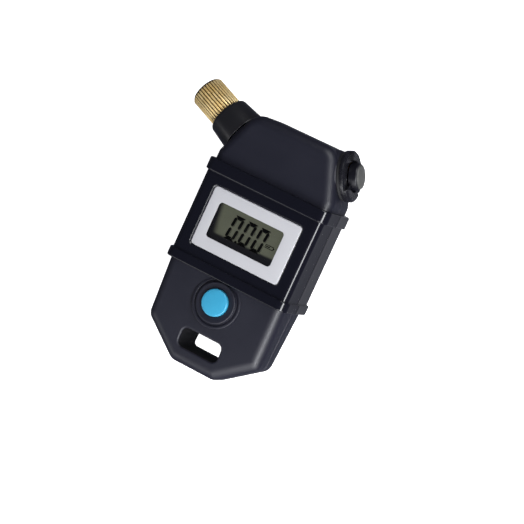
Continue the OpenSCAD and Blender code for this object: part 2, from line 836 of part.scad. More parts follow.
// Crowned cap, the lip that keeps it in, and the foot on the switch
module power_button() {
    crown = 0.35;
    dome_r = (button_r * button_r + crown * crown) / (2 * crown);
    soft = 0.5;
    color([0.25, 0.63, 0.83]) translate([0, -button_y, 0]) union() {
        intersection() {
            translate([0, 0, lip_low]) rotate_extrude() polygon([
                [0, 0], [button_r, 0],
                [button_r, button_top - lip_low - crown - soft],
                [button_r - soft * 0.3, button_top - lip_low - crown - soft * 0.3],
                [button_r - soft, button_top - lip_low - crown],
                [button_r - soft, button_top - lip_low], [0, button_top - lip_low]]);
            translate([0, 0, button_top - dome_r]) sphere(r = dome_r, $fn = 96);
        }
        translate([0, 0, lip_low]) cylinder(r = lip_r, h = lip_t);
        translate([0, 0, plunger_top + seat])
            cylinder(r = plunger_r, h = lip_low - plunger_top);
    }
}

module pressure_sensor() {
    color([0.9, 0.9, 0.88]) difference() {
        union() {
            translate([-sensor_w / 2, sensor_high_y - sensor_h, sensor_low])
                cube([sensor_w, sensor_h, sensor_high - sensor_low]);
            along_y(sensor_high_y - nozzle_root) translate([0, -housing_mid, 0])
                cylinder(r = nozzle_r, h = nozzle_l + nozzle_root);
        }
        along_y(sensor_high_y - sensor_bore_l) translate([0, -housing_mid, 0])
            cylinder(r = nozzle_bore_r, h = cut);
    }
}

module sensor_seal() {
    color([0.1, 0.1, 0.1]) along_y((sensor_high_y + nozzle_end_y) / 2)
        translate([0, -housing_mid, 0]) rotate_extrude()
            translate([sensor_seal_r, 0]) circle(sensor_seal_wire_r, $fn = 24);
}

module coin_cell() {
    color([0.78, 0.78, 0.76]) translate([0, belt_mid_y, cell_low]) union() {
        cylinder(r = cell_r, h = cell_t - cell_step_h);
        cylinder(r = cell_r - cell_step_w, h = cell_t);
    }
}

// A bent leaf from the board's back down to the cell
module contact_leaf(leg_x, foot_x, foot_z) {
    low_x = min(leg_x, foot_x);
    translate([0, belt_mid_y - leaf_w / 2, 0]) {
        translate([leg_x, 0, foot_z]) cube([leaf_t, leaf_w, board_z - seat - foot_z]);
        translate([low_x, 0, foot_z]) cube([abs(leg_x - foot_x) + leaf_t, leaf_w, leaf_t]);
    }
}

module contact_plus() {
    color([0.85, 0.75, 0.45]) contact_leaf(plus_leg_x, plus_foot_x, cell_high - cell_step_h + seat);
}

module contact_minus() {
    color([0.85, 0.75, 0.45]) contact_leaf(-minus_leg_x, minus_foot_x, cell_high + seat);
}

// Turning cover: plate with a coin slot, cup round the cell, two lugs
module battery_cover() {
    color([0.1, 0.1, 0.12]) translate([0, belt_mid_y, 0]) difference() {
        union() {
            translate([0, 0, cover_low]) cylinder(r = cover_r, h = cover_high - cover_low);
            translate([0, 0, cover_low]) cylinder(r = cup_r, h = cup_high - cover_low);
            for (side = [0, 180]) translate([0, 0, lug_low])
                sector(lug_r, side, lug_angle, lug_high - lug_low);
        }
        translate([0, 0, cover_high]) cylinder(r = cup_in_r, h = cut);
        translate([0, 0, cover_high - cover_seal_t - seat])
            ring(cover_seal_r - cover_seal_t / 2 - seat, cover_seal_r + cover_seal_t / 2 + seat,
                cover_seal_t + 1);
        translate([-coin_slot_l / 2, -coin_slot_w / 2, cover_low - 1])
            cube([coin_slot_l, coin_slot_w, coin_slot_d + 1]);
    }
}

module cover_seal() {
    color([0.7, 0.15, 0.1])
        translate([0, belt_mid_y, cover_high - cover_seal_t / 2]) rotate_extrude()
            translate([cover_seal_r, 0]) circle(cover_seal_t / 2, $fn = 24);
}

// Forked body that joins the chuck, the release valve and the sensor
module valve_body() {
    color([0.72, 0.66, 0.5]) difference() {
        union() {
            at_port(-1) translate([0, 0, -port_depth(-1)])
                cylinder(r = tube_r, h = port_depth(-1) + left_tube_end);
            at_port(1) translate([0, 0, -port_depth(1)])
                cylinder(r = tube_r, h = port_depth(1) + right_tube_end);
            translate([0, junction_y, housing_mid - fork_half])
                cylinder(r = fork_r, h = 2 * fork_half);
            along_y(socket_low_y) translate([0, -housing_mid, 0])
                cylinder(r = socket_tube_r, h = junction_y - socket_low_y);
        }
        at_port(-1) {
            translate([0, 0, -port_depth(-1)]) cylinder(r = passage_r, h = cut);
            translate([0, 0, spigot_low - 2 * seat]) cylinder(r = spigot_r + running, h = cut);
            translate([0, 0, clip_z - seat])
                cylinder(r = spigot_r + clip_reach + running, h = clip_t + 2 * seat);
        }
        at_port(1) {
            translate([0, 0, chamber_top - seat]) cylinder(r = stem_r + slip, h = cut);
            translate([0, 0, -spring_bore_l]) cylinder(r = spring_bore_r, h = cut);
            translate([0, 0, -port_depth(1)])
                cylinder(r = chamber_r, h = port_depth(1) + chamber_top);
        }
        translate([0, junction_y, housing_mid - fork_hollow_r])
            cylinder(r = fork_hollow_r, h = 2 * fork_hollow_r);
        along_y(0) translate([0, -housing_mid, 0]) {
            cylinder(r = socket_r, h = socket_high_y);
            cylinder(r = nozzle_bore_r, h = junction_y);
        }
    }
}

module neck_collar() {
    soft = 1.2;
    color([0.16, 0.16, 0.18]) at_port(-1) rotate_extrude() polygon(concat(
        [[tube_r + seat, neck_groove], [neck_r - 0.3, neck_groove], [neck_r, neck_groove + 0.3]],
        [for (i = [0 : arc_steps]) let (a = 90 * i / arc_steps)
            [neck_end_r - soft + soft * cos(a), neck_end - soft + soft * sin(a)]],
        [[tube_r + seat, neck_end]]));
}

// Brass chuck: one turned form, with straight grooves cut round its grip
module chuck() {
    grip_h = chuck_l - chuck_lip_l - 0.2;
    groove_w = PI * chuck_r / knurl_n;
    clip_cut_r = spigot_r - clip_grip - slip;
    ring_cut_r = spigot_r - 2 * ring_wire_r;
    ring_half = 1.2 * ring_wire_r;
    color([0.78, 0.66, 0.4]) at_port(-1) difference() {
        rotate_extrude() polygon([
            [passage_r, spigot_low], [spigot_r - 0.2, spigot_low], [spigot_r, spigot_low + 0.2],
            [spigot_r, clip_z - 2 * seat], [clip_cut_r, clip_z - 2 * seat],
            [clip_cut_r, clip_z + clip_t + 2 * seat], [spigot_r, clip_z + clip_t + 2 * seat],
            [spigot_r, ring_z - ring_half], [ring_cut_r, ring_z - ring_half],
            [ring_cut_r, ring_z + ring_half], [spigot_r, ring_z + ring_half],
            [spigot_r, chuck_low], [chuck_r - 0.2, chuck_low], [chuck_r, chuck_low + 0.2],
            [chuck_r, chuck_end - chuck_lip_l], [chuck_lip_r, chuck_end - 0.25],
            [chuck_lip_r - 0.3, chuck_end], [thread_r, chuck_end],
            [thread_r, thread_low], [chuck_seal_r + running, thread_low],
            [chuck_seal_r + running, chuck_seal_low - seat],
            [passage_r, chuck_seal_low - seat]]);
        for (i = [0 : knurl_n - 1]) rotate([0, 0, i * 360 / knurl_n])
            translate([chuck_r - knurl_d, -groove_w / 2, chuck_low - 0.1])
                cube([1, groove_w, grip_h]);
    }
}

module chuck_seal() {
    color([0.1, 0.1, 0.1]) at_port(-1) translate([0, 0, chuck_seal_low])
        ring(passage_r + 0.4, chuck_seal_r, chuck_seal_t);
}

// Pin that pushes the tyre valve open, held by a three-legged foot
module chuck_pin() {
    color([0.8, 0.8, 0.82]) at_port(-1) union() {
        translate([0, 0, pin_low]) cylinder(r = pin_r, h = pin_end - pin_low);
        translate([0, 0, pin_low]) intersection() {
            cylinder(r = passage_r - running, h = 0.8);
            for (turn = [0, 60, 120]) rotate([0, 0, turn])
                translate([-passage_r, -0.25, 0]) cube([2 * passage_r, 0.5, 0.8]);
        }
    }
}

module chuck_clip() {
    color([0.75, 0.76, 0.78]) at_port(-1) translate([0, 0, clip_z]) difference() {
        ring(spigot_r - clip_grip, spigot_r + clip_reach, clip_t);
        sector(cut, 0, clip_gap_angle, cut);
    }
}

module chuck_ring() {
    color([0.1, 0.1, 0.1]) at_port(-1) translate([0, 0, ring_z]) rotate_extrude()
        translate([spigot_r - ring_wire_r + running / 2, 0])
            circle(ring_wire_r - running / 2 - 0.01, $fn = 24);
}

module release_washer() {
    color([0.08, 0.08, 0.09]) at_port(1) translate([0, 0, washer_low])
        ring(tube_r + slip, washer_r, washer_t);
}

// Nut with raised lobes, a wide finger gap and two narrow slots
module release_nut() {
    gap_mid = 180 - nut_gap_turn;
    bevel = 0.5;
    color([0.18, 0.18, 0.2]) at_port(1) translate([0, 0, nut_low]) union() {
        rotate_extrude() polygon([
            [tube_r + seat, 0], [nut_r - 0.2, 0], [nut_r, 0.2], [nut_r, nut_base_t - bevel],
            [nut_r - 2 * bevel, nut_base_t], [nut_bore_r, nut_base_t],
            [nut_bore_r, nut_shelf], [tube_r + seat, nut_shelf]]);
        difference() {
            rotate_extrude() polygon([
                [nut_open_r, nut_base_t - 0.2], [nut_r - 1, nut_base_t - 0.8],
                [nut_r, nut_base_t - bevel - 0.1], [nut_r, nut_base_t + nut_lobe_h - 0.6],
                [nut_r - 0.6, nut_base_t + nut_lobe_h],
                [nut_open_r + 0.4, nut_base_t + nut_lobe_h],
                [nut_open_r, nut_base_t + nut_lobe_h - 0.4]]);
            translate([0, 0, nut_base_t]) {
                sector(cut, gap_mid, 2 * nut_gap_half, cut);
                for (side = [-1, 1])
                    sector(cut, gap_mid + 180 + side * nut_slot_apart / 2, nut_slot_angle, cut);
            }
        }
    }
}

module release_button() {
    soft = 0.6;
    color([0.42, 0.42, 0.43]) at_port(1) rotate_extrude() polygon(concat(
        [[0, stem_low], [stem_r, stem_low], [stem_r, release_cap_low],
            [release_r - 0.3, release_cap_low], [release_r, release_cap_low + 0.3]],
        [for (i = [0 : arc_steps]) let (a = 90 * i / arc_steps)
            [release_r - soft + soft * cos(a), release_face - 0.25 - soft + soft * sin(a)]],
        [[release_r * 0.5, release_face - 0.06], [0, release_face]]));
}

// Points of the spring's wire and of the tube swept along it
spring_rings = 8;
wire_sides = 6;
wire_n = spring_turns * spring_rings;
wire_low = spring_low + wire_r;
wire_high = spring_high - wire_r;
function wire_point(i) = let (a = 360 * i / spring_rings)
    [spring_r * cos(a), spring_r * sin(a), wire_low + (wire_high - wire_low) * i / wire_n];
function wire_way(i) = unit(wire_point(min(i + 1, wire_n)) - wire_point(max(i - 1, 0)));
function wire_loop(i) = let (p = wire_point(i), t = wire_way(i),
    m = unit([p.x, p.y, 0]), n = cross(t, m))
    [for (k = [0 : wire_sides - 1]) let (a = 360 * k / wire_sides)
        p + wire_r * (cos(a) * m + sin(a) * n)];
wire_gap = min([for (i = [0 : wire_n], j = [0 : wire_n])
    if (j - i > spring_rings / 2) norm(wire_point(i) - wire_point(j)) - 2 * wire_r]);
echo(spring_least_gap = wire_gap);

module release_spring() {
    points = [for (i = [0 : wire_n]) each wire_loop(i)];
    sides = [for (i = [0 : wire_n - 1], k = [0 : wire_sides - 1])
        let (a = i * wire_sides + k, b = i * wire_sides + (k + 1) % wire_sides)
        each [[a, a + wire_sides, b], [b, a + wire_sides, b + wire_sides]]];
    last = wire_n * wire_sides;
    ends = [for (k = [1 : wire_sides - 2]) each [[0, k, k + 1], [last, last + k + 1, last + k]]];
    color([0.75, 0.76, 0.78]) at_port(1) polyhedron(points, concat(sides, ends));
}

module release_poppet() {
    color([0.78, 0.66, 0.4]) at_port(1) difference() {
        translate([0, 0, poppet_top - poppet_t]) cylinder(r = poppet_r, h = poppet_t);
        translate([0, 0, stem_low - seat]) cylinder(r = stem_r + seat, h = cut);
    }
}

module poppet_seal() {
    color([0.1, 0.1, 0.1]) at_port(1) translate([0, 0, poppet_top + seat])
        ring(stem_r + running, poppet_r - 0.1, poppet_seal_t);
}

placed() front_shell();
placed() rear_shell();
placed() display_bezel();
placed() rear_band();
placed() silver_frame();
placed() display_window();
placed() display_glass();
placed() display_holder();
placed() contact_strip();
placed() circuit_board();
placed() board_screws();
placed() case_screws();
placed() push_switch();
placed() switch_plunger();
placed() power_button();
placed() pressure_sensor();
placed() sensor_seal();
placed() coin_cell();
placed() contact_plus();
placed() contact_minus();
placed() battery_cover();
placed() cover_seal();
placed() valve_body();
placed() neck_collar();
placed() chuck();
placed() chuck_seal();
placed() chuck_pin();
placed() chuck_clip();
placed() chuck_ring();
placed() release_washer();
placed() release_nut();
placed() release_button();
placed() release_spring();
placed() release_poppet();
placed() poppet_seal();
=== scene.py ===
# %% [markdown]
# # A digital pressure gauge
# The gauge is a hand-held tool: a two-part housing with a glossy belt round its middle, a
# small display under a silver frame, a blue power button, a knurled brass chuck on the left
# and a release valve on the right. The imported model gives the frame, and every piece below
# is placed in that frame, in metres, where the solids already are.

# %% Load the frame
import math

import bmesh
import bpy
import numpy as np
from mathutils import Matrix, Vector
from mathutils.geometry import tessellate_polygon


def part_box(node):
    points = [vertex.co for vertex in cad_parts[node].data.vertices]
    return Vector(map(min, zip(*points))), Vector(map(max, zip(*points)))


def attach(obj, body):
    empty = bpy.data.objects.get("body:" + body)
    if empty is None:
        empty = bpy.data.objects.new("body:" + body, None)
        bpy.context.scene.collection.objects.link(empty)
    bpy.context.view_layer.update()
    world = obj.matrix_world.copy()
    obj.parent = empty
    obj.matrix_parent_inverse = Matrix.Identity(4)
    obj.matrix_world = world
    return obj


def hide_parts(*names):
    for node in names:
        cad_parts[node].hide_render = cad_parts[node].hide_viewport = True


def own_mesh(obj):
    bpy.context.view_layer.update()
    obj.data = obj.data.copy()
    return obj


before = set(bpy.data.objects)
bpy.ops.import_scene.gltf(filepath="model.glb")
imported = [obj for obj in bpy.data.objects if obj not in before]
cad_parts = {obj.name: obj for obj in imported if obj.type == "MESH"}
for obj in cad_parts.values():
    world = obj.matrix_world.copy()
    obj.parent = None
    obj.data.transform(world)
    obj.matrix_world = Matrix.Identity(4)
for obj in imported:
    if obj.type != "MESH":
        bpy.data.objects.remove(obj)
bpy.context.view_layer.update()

# %% [markdown]
# ## Sizes
# The surfaces repeat the sizes of the solids, in millimetres, measured from the middle of
# the display, because that is the point that a designer would draw from. The clear window
# stands over that point, so its box tells where it lies in the frame.

# %% Sizes of the housing, the belt and the display
MM = 0.001
window_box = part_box("display_window")
display_x = (window_box[0].x + window_box[1].x) / 2 / MM
display_y = (window_box[0].y + window_box[1].y) / 2 / MM

housing_back, housing_front = 2.8, 23.4
housing_middle = (housing_back + housing_front) / 2
parting = 13.1
corner_round, head_round, edge_round = 4.0, 7.0, 3.5
half_corners = [(8.7, -51.2), (22.9, -40.3), (23.3, -18.2), (23.3, 22.4), (16.3, 39.5)]
tail_start, tail_length, tail_drop, tail_rise = -18.2, 33.0, 3.3, 3.6
belt_width, belt_front, belt_back, belt_round = 47.4, 24.6, 0.9, 2.4
frame_width, frame_height, frame_round = 35.2, 21.8, 1.25
frame_low, frame_top = 23.5, 24.3
view_width, view_height, view_shift = 26.2, 13.0, -0.5
window_width, window_height = 33.4, 20.0
window_low, window_top = 22.65, 23.45
glass_width, glass_height = 30.4, 17.0
glass_low, glass_top = 20.35, 22.35
slip = 0.12
print("display stands at", round(display_x, 3), round(display_y, 3), "mm")

# %% [markdown]
# ## Surface helpers
# Almost every piece of this gauge is a profile carried along a path: round the body, round an
# axis, or round a rectangle with soft corners. So a few helpers do the work: one gives a path
# with rounded corners, one weaves rows of points into faces, and one turns rows round an axis.
# All of them work on whole arrays.

# %% Rows of points into faces


def woven(rows, closed=True):
    """Faces between neighbouring rows of points: point j of row i joins point j + 1 of the
    same row and the same two points of row i + 1. A closed row joins its end to its start."""
    rows = np.asarray(rows, float)
    count, width = rows.shape[:2]
    i = np.arange(count - 1)[:, None]
    j = np.arange(width if closed else width - 1)[None, :]
    k = (j + 1) % width
    faces = np.stack([i * width + j, i * width + k, (i + 1) * width + k, (i + 1) * width + j], -1)
    return rows.reshape(-1, 3), faces.reshape(-1, 4)


def filled(loops, height):
    """Flat face at one height between an outer loop of (x, y) and the holes inside it."""
    rims = [np.insert(loop, 2, height, axis=1) for loop in loops]
    triangles = tessellate_polygon([rim.tolist() for rim in rims])
    return np.concatenate(rims), np.array(triangles)


def soft_path(corners, steps=5):
    """Path through corners, each (x, y) or (x, y, radius). A corner with a radius is cut back along
    both sides by radius / tan(half its angle) and bridged by a parabola that touches both."""
    points = np.array([corner[:2] for corner in corners], float)
    radii = [(*corner, 0)[2] for corner in corners]
    t = np.linspace(0, 1, steps + 1)[:, None]
    path = [points[:1]]
    for before, here, after, radius in zip(points[:-2], points[1:-1], points[2:], radii[1:-1]):
        if radius == 0:
            path.append(here[None])
            continue
        back = (before - here) / np.linalg.norm(before - here)
        ahead = (after - here) / np.linalg.norm(after - here)
        half = np.arccos(np.clip(back @ ahead, -1, 1)) / 2
        reach = radius / np.tan(half)
        first, last = here + back * reach, here + ahead * reach
        path.append((1 - t) ** 2 * first + 2 * t * (1 - t) * here + t ** 2 * last)
    path.append(points[-1:])
    return np.concatenate(path)


def full_turn(steps):
    """Equal steps of angle, once round."""
    return np.linspace(0, 2 * np.pi, steps, endpoint=False)


def spun(radius, angle, height):
    """Rows of points round an axis: x = radius cos angle, y = radius sin angle, z = height."""
    rows = np.broadcast_arrays(radius * np.cos(angle), radius * np.sin(angle), height)
    return woven(np.stack(rows, -1))


def turned(profile, spin=96):
    """Surface of revolution: each (radius, height) goes round the axis in equal steps."""
    radius, height = np.asarray(profile, float).T[:, :, None]
    return spun(radius, full_turn(spin), height)


def moved(patch, offset, axes=np.eye(3)):
    """A patch turned so that its own axes lie along the rows of axes, then moved."""
    points, faces = patch
    return points @ np.asarray(axes, float) + np.asarray(offset, float), faces


print("helpers: woven, filled, soft_path, full_turn, spun, turned, moved")

# %% Outlines with soft corners


def arcs(x, y, radius, angle):
    """Points (x, y) along arcs round one centre or more."""
    return np.column_stack([(x + radius * np.cos(angle)).ravel(), (y + radius * np.sin(angle)).ravel()])


def circle_loop(radius, centre=(0.0, 0.0), steps=96):
    """Loop of points at one distance from a centre."""
    return arcs(*centre, radius, full_turn(steps))


def rounded_loop(width, height, radius, centre=(0.0, 0.0), steps=8):
    """Rectangle with round corners: four quarter circles, joined by the straight sides."""
    angle = np.arange(4)[:, None] * np.pi / 2 + np.linspace(0, np.pi / 2, steps + 1)
    across = np.array([1, -1, -1, 1])[:, None] * (width / 2 - radius)
    along = np.array([1, 1, -1, -1])[:, None] * (height / 2 - radius)
    return arcs(centre[0] + across, centre[1] + along, radius, angle)


def drawn_in(width, height, radius, centre=(0.0, 0.0), least=0.1):
    """Makes a loop function: it draws a rectangle with round corners in by a distance, and its
    corners with it down to a least radius. A negative distance grows it."""
    def loop(inset):
        return rounded_loop(width - 2 * inset, height - 2 * inset, max(radius - inset, least), centre)
    return loop


corners = np.array(half_corners + [(-x, y) for x, y in half_corners[::-1]])
ahead = np.roll(corners, -1, axis=0) - corners
ahead /= np.linalg.norm(ahead, axis=1)[:, None]
inward = np.column_stack([-ahead[:, 1], ahead[:, 0]])
inward_before = np.roll(inward, 1, axis=0)
shared = 1 + np.sum(inward * inward_before, axis=1)
corner_rounds = np.full((len(corners), 1), corner_round)
corner_rounds[len(half_corners) - 1:len(half_corners) + 1] = head_round
corner_centres = corners + corner_rounds * (inward + inward_before) / shared[:, None]
arc_start = np.arctan2(-inward_before[:, 1], -inward_before[:, 0])
arc_end = np.arctan2(-inward[:, 1], -inward[:, 0])
arc_turn = (arc_end - arc_start) % (2 * np.pi)


def housing_loop(inset, steps=8):
    """The housing's outline drawn in by a distance: each corner is an arc round a fixed
    centre, of the corner's radius less that distance, so all such loops match in count."""
    angle = arc_start[:, None] + arc_turn[:, None] * np.linspace(0, 1, steps + 1)
    return arcs(corner_centres[:, :1], corner_centres[:, 1:], corner_rounds - inset, angle)


def lofted(loop, profile):
    """A closed loop carried through (inset, height) pairs, one row of points for each."""
    rows = [np.insert(loop(inset), 2, height, axis=1) for inset, height in profile]
    return woven(rows)


def tapered(patch):
    """Thins a patch of the housing towards its lower end. Past the belt the front falls and the
    back rises in step with the distance; rounded edges move whole, and the straight side
    between them and the parting plane takes up the rest."""
    points, faces = patch
    x, y, z = np.asarray(points, float).T
    past = np.clip(tail_start - y, 0, None) / tail_length
    above = np.clip((z - parting) / (housing_front - edge_round - parting), 0, 1)
    below = np.clip((parting - z) / (parting - housing_back - edge_round), 0, 1)
    return np.column_stack([x, y, z + past * (tail_rise * below - tail_drop * above)]), faces


print("points round the housing:", len(housing_loop(0)))

# %% [markdown]
# ## Finishes
# A moulded plastic, a lacquer or a turned metal is never one flat colour: it has fine grain,
# slow changes of tone and places that shine more. A small class wraps a node's output so that
# shader maths can be written as Python, a second one adds nodes, and a third one builds a material
# round Blender's Principled shader. Patterns read Object coordinates, so they stay put on each piece.

# %% Shader maths as Python


class Value:
    """Output of a node. Operators on it add Math nodes."""

    def __init__(self, graph, link):
        self.graph = graph
        self.link = link

    def joined(self, operation, first, second):
        return self.graph.add("ShaderNodeMath", {"operation": operation}, {0: first, 1: second})

    def __add__(self, other):
        return self.joined("ADD", self, other)

    def __sub__(self, other):
        return self.joined("SUBTRACT", self, other)

    def __rsub__(self, other):
        return self.joined("SUBTRACT", other, self)

    def __mul__(self, other):
        return self.joined("MULTIPLY", self, other)

    __radd__ = __add__
    __rmul__ = __mul__


class Graph:
    """The nodes of one material or of the world."""

    def __init__(self, owner):
        owner.use_nodes = True
        self.nodes = owner.node_tree.nodes
        self.links = owner.node_tree.links

    def add(self, kind, settings, sockets, output=0):
        """Adds a node of any type, sets its settings, then its sockets' values or links."""
        node = self.nodes.new(kind)
        for name, value in settings.items():
            setattr(node, name, value)
        for name, value in sockets.items():
            if isinstance(value, Value):
                self.links.new(value.link, node.inputs[name])
            else:
                node.inputs[name].default_value = value
        return Value(self, node.outputs[output])

    def blend(self, factor, first, second):
        """Mixes two colours by a factor; a colour is a value or (red, green, blue)."""
        first, second = [tone if isinstance(tone, Value) else (*tone, 1) for tone in (first, second)]
        return self.add("ShaderNodeMix", {"data_type": "RGBA"}, {0: factor, 6: first, 7: second}, 2)

    def slope(self, value, low, high, kind="SMOOTHSTEP"):
        """Step of a value: 0 below the low mark, 1 above the high one, of a kind in between."""
        return self.add("ShaderNodeMapRange", {"interpolation_type": kind},
                        {"Value": value, "From Min": low, "From Max": high})


class Finish(Graph):
    """One material: its nodes, and the Principled shader that they feed."""

    def __init__(self, name, **constants):
        self.material = bpy.data.materials.new(name)
        super().__init__(self.material)
        self.shader = self.nodes["Principled BSDF"]
        for socket, value in constants.items():
            self.shader.inputs[socket.replace("_", " ")].default_value = value
        self.place = self.add("ShaderNodeTexCoord", {}, {}, "Object")

    def feed(self, **inputs):
        """Links values to the shader's own sockets."""
        for socket, value in inputs.items():
            self.links.new(value.link, self.shader.inputs[socket.replace("_", " ")])
        return self

    def vector(self, operation, first, second, output=0):
        """Vector maths on two vectors."""
        return self.add("ShaderNodeVectorMath", {"operation": operation}, {0: first, 1: second}, output)

    def noise(self, scale, detail=2.0, stretch=(1, 1, 1)):
        """Soft random field; a stretch of (x, y, z) draws it out along an axis."""
        place = self.vector("MULTIPLY", self.place, stretch)
        return self.add("ShaderNodeTexNoise", {}, {"Vector": place, "Scale": scale, "Detail": detail})

    def bump(self, height, strength, distance):
        """Surface normal tilted by a height field; the distance is in metres."""
        return self.add("ShaderNodeBump", {}, {"Height": height, "Strength": strength,
                                               "Distance": distance})

    def axis(self, output):
        """One coordinate of the surface point, X, Y or Z, in metres."""
        return self.add("ShaderNodeSeparateXYZ", {}, {0: self.place}, output)

    def along(self, middle, way):
        """Distance along an axis: the dot product of place - middle and way."""
        return self.vector("DOT_PRODUCT", self.vector("SUBTRACT", self.place, middle), way, "Value")

    def around(self, middle, way):
        """Distance from an axis: the length of (place - middle) x way."""
        across = self.vector("CROSS_PRODUCT", self.vector("SUBTRACT", self.place, middle), way)
        return self.add("ShaderNodeVectorMath", {"operation": "LENGTH"}, {0: across}, "Value")


print("classes: Value, Graph, Finish")

# %% [markdown]
# ## Plastics
# The housing is a satin black moulding with a fine even grain, as a spark-eroded tool leaves it.
# The belt is the same plastic with a polished face, and the collar lies between the two. The tone
# changes a little over a piece, and the grain goes into the normal as a very low bump.

# %% Moulded plastics
GRAIN_HEIGHT = 0.00002


def moulded(name, dark, light, rough, grain, bend=1.5):
    """Plastic with two close tones in slow patches, an uneven shine and a fine grain; the shine's
    strength follows from how much it bends light."""
    finish = Finish(name, IOR=bend)
    patches = finish.noise(90.0, 3.0)
    speckle = finish.noise(5200.0, 1.0)
    colour = finish.blend(patches, dark, light)
    shine = rough + 0.1 * (patches - 0.5) + 0.06 * (speckle - 0.5)
    return finish.feed(Base_Color=colour, Roughness=shine,
                       Normal=finish.bump(speckle, grain, GRAIN_HEIGHT)).material


housing_finish = moulded("satin_housing", (0.006, 0.0063, 0.0122), (0.0079, 0.0083, 0.0155), 0.46, 0.5)
belt_finish = moulded("gloss_belt", (0.0025, 0.0027, 0.0055), (0.004, 0.0042, 0.0075), 0.16, 0.02)
collar_finish = moulded("satin_collar", (0.007, 0.0068, 0.0075), (0.011, 0.0108, 0.0118), 0.31, 0.15)
cover_finish = moulded("satin_cover", (0.012, 0.012, 0.015), (0.02, 0.02, 0.025), 0.4, 0.5)
button_finish = moulded("blue_button", (0.032, 0.265, 0.43), (0.042, 0.305, 0.475), 0.34, 0.25)
# Painted shade: a darker plastic for the walls of the strap slot and the edge under the silver frame.
recess_shade_finish = moulded("recess_painted_shade", (0.002, 0.002, 0.003), (0.003, 0.003, 0.004), 0.75, 0.3, 1.3)
pale_finish = moulded("pale_plastic", (0.62, 0.62, 0.58), (0.7, 0.7, 0.66), 0.5, 0.4)
switch_finish = moulded("switch_plastic", (0.012, 0.012, 0.013), (0.02, 0.02, 0.022), 0.5, 0.4)
plunger_finish = moulded("red_plunger", (0.4, 0.03, 0.02), (0.48, 0.045, 0.03), 0.45, 0.3)
rubber_finish = moulded("black_rubber", (0.006, 0.006, 0.007), (0.012, 0.012, 0.013), 0.72, 0.8)
print("plastics:", housing_finish.name, belt_finish.name, button_finish.name)

# %% [markdown]
# ## Metals
# The frame round the display is plastic with a satin silver lacquer: fine flakes that break up the shine,
# and a painted highlight, thin and bright, on the rounded edge. The release valve has a dark lacquer of the
# same kind, and its cap is grey on the face with painted shade, near black, down its side. The chuck is
# turned brass, with faint lines left by the tool, a warm tarnish that gathers in patches, and painted shade
# that darkens the grooves between the ribs. The valve's body, the steel pieces and the battery's contacts
# share that finish without the painted shade in the grooves.

# %% Lacquer and turned metals
FLAKE_SCALE, FLAKE_TILT = 7000.0, 0.12
LINE_HEIGHT = 0.00003


def lacquered(name, dark, light, rough, metallic, edge=None):
    """Metal paint: flakes of two tones, each with its own small tilt and shine. An edge of (tone, low, high)
    is a painted highlight: it goes from its tone at the low height to the paint at the high one."""
    finish = Finish(name, Metallic=metallic)
    flakes = finish.noise(FLAKE_SCALE, 1.0)
    clouds = finish.noise(60.0, 2.0)
    colour = finish.blend(flakes * 0.6 + clouds * 0.4, dark, light)
    if edge:
        tone, low, high = edge
        colour = finish.blend(finish.slope(finish.axis("Z"), low, high), tone, colour)
    return finish.feed(Base_Color=colour, Roughness=rough + 0.12 * (flakes - 0.5),
                       Normal=finish.bump(flakes, FLAKE_TILT, GRAIN_HEIGHT)).material


def cap_with_painted_shade(name, middle, way, low, high):
    """Lacquer that is grey on the face and near black down the side, where the black is painted shade: the
    distance along the axis goes from the painted shade at low to the grey face at high, with an uneven
    border."""
    finish = Finish(name, Metallic=0.2)
    flakes = finish.noise(FLAKE_SCALE, 1.0)
    clouds = finish.noise(240.0, 3.0)
    face_grey = finish.blend(flakes * 0.4 + clouds * 0.6, (0.07, 0.071, 0.066), (0.11, 0.111, 0.104))
    face = finish.slope(finish.along(middle, way) + 0.0004 * (clouds - 0.5), low, high)
    # Painted shade: near-black lacquer down the cap's side, up to the grey face.
    colour = finish.blend(face, (0.004, 0.004, 0.007), face_grey)
    return finish.feed(Base_Color=colour, Roughness=0.3 + 0.1 * flakes,
                       Normal=finish.bump(flakes, FLAKE_TILT, GRAIN_HEIGHT)).material


def turned_metal(name, dark, light, rough, lines, metallic=1.0, groove=None):
    """Machined metal: fine lines drawn out level, and slow patches of tarnish. A groove of (tone, axis, low,
    high) is painted shade in the troughs: it goes from its tone at the low distance from the axis, which is
    a point and a way, to the metal at the high one."""
    finish = Finish(name, Metallic=metallic)
    tarnish = finish.noise(160.0, 4.0)
    scratch = finish.noise(1200.0, 2.0, (0.25, 0.25, 3.0))
    colour = finish.blend(finish.slope(tarnish * 0.7 + scratch * 0.3, 0.3, 0.7), dark, light)
    if groove:
        tone, axis, low, high = groove
        colour = finish.blend(finish.slope(finish.around(*axis), low, high), tone, colour)
    return finish.feed(Base_Color=colour, Roughness=rough + 0.16 * (scratch - 0.5),
                       Normal=finish.bump(scratch, lines, LINE_HEIGHT)).material


# Painted highlight: a near-white tone on the frame's rounded outer edge and side.
silver_painted_highlight = ((0.95, 0.95, 0.96), (frame_top - 0.16) * MM, (frame_top - 0.03) * MM)
silver_finish = lacquered("silver_lacquer", (0.47, 0.47, 0.485), (0.55, 0.55, 0.565), 0.42, 0.15,
                          silver_painted_highlight)
brass_finish = turned_metal("turned_brass", (0.5, 0.33, 0.13), (0.72, 0.54, 0.28), 0.3, 0.3)
steel_finish = turned_metal("plain_steel", (0.5, 0.51, 0.53), (0.62, 0.63, 0.65), 0.3, 0.2)
contact_finish = turned_metal("contact_sheet", (0.55, 0.42, 0.18), (0.68, 0.55, 0.26), 0.28, 0.2)
valve_finish = lacquered("dark_valve", (0.005, 0.005, 0.007), (0.01, 0.01, 0.013), 0.26, 0.1)
print("metals:", silver_finish.name, brass_finish.name, valve_finish.name)

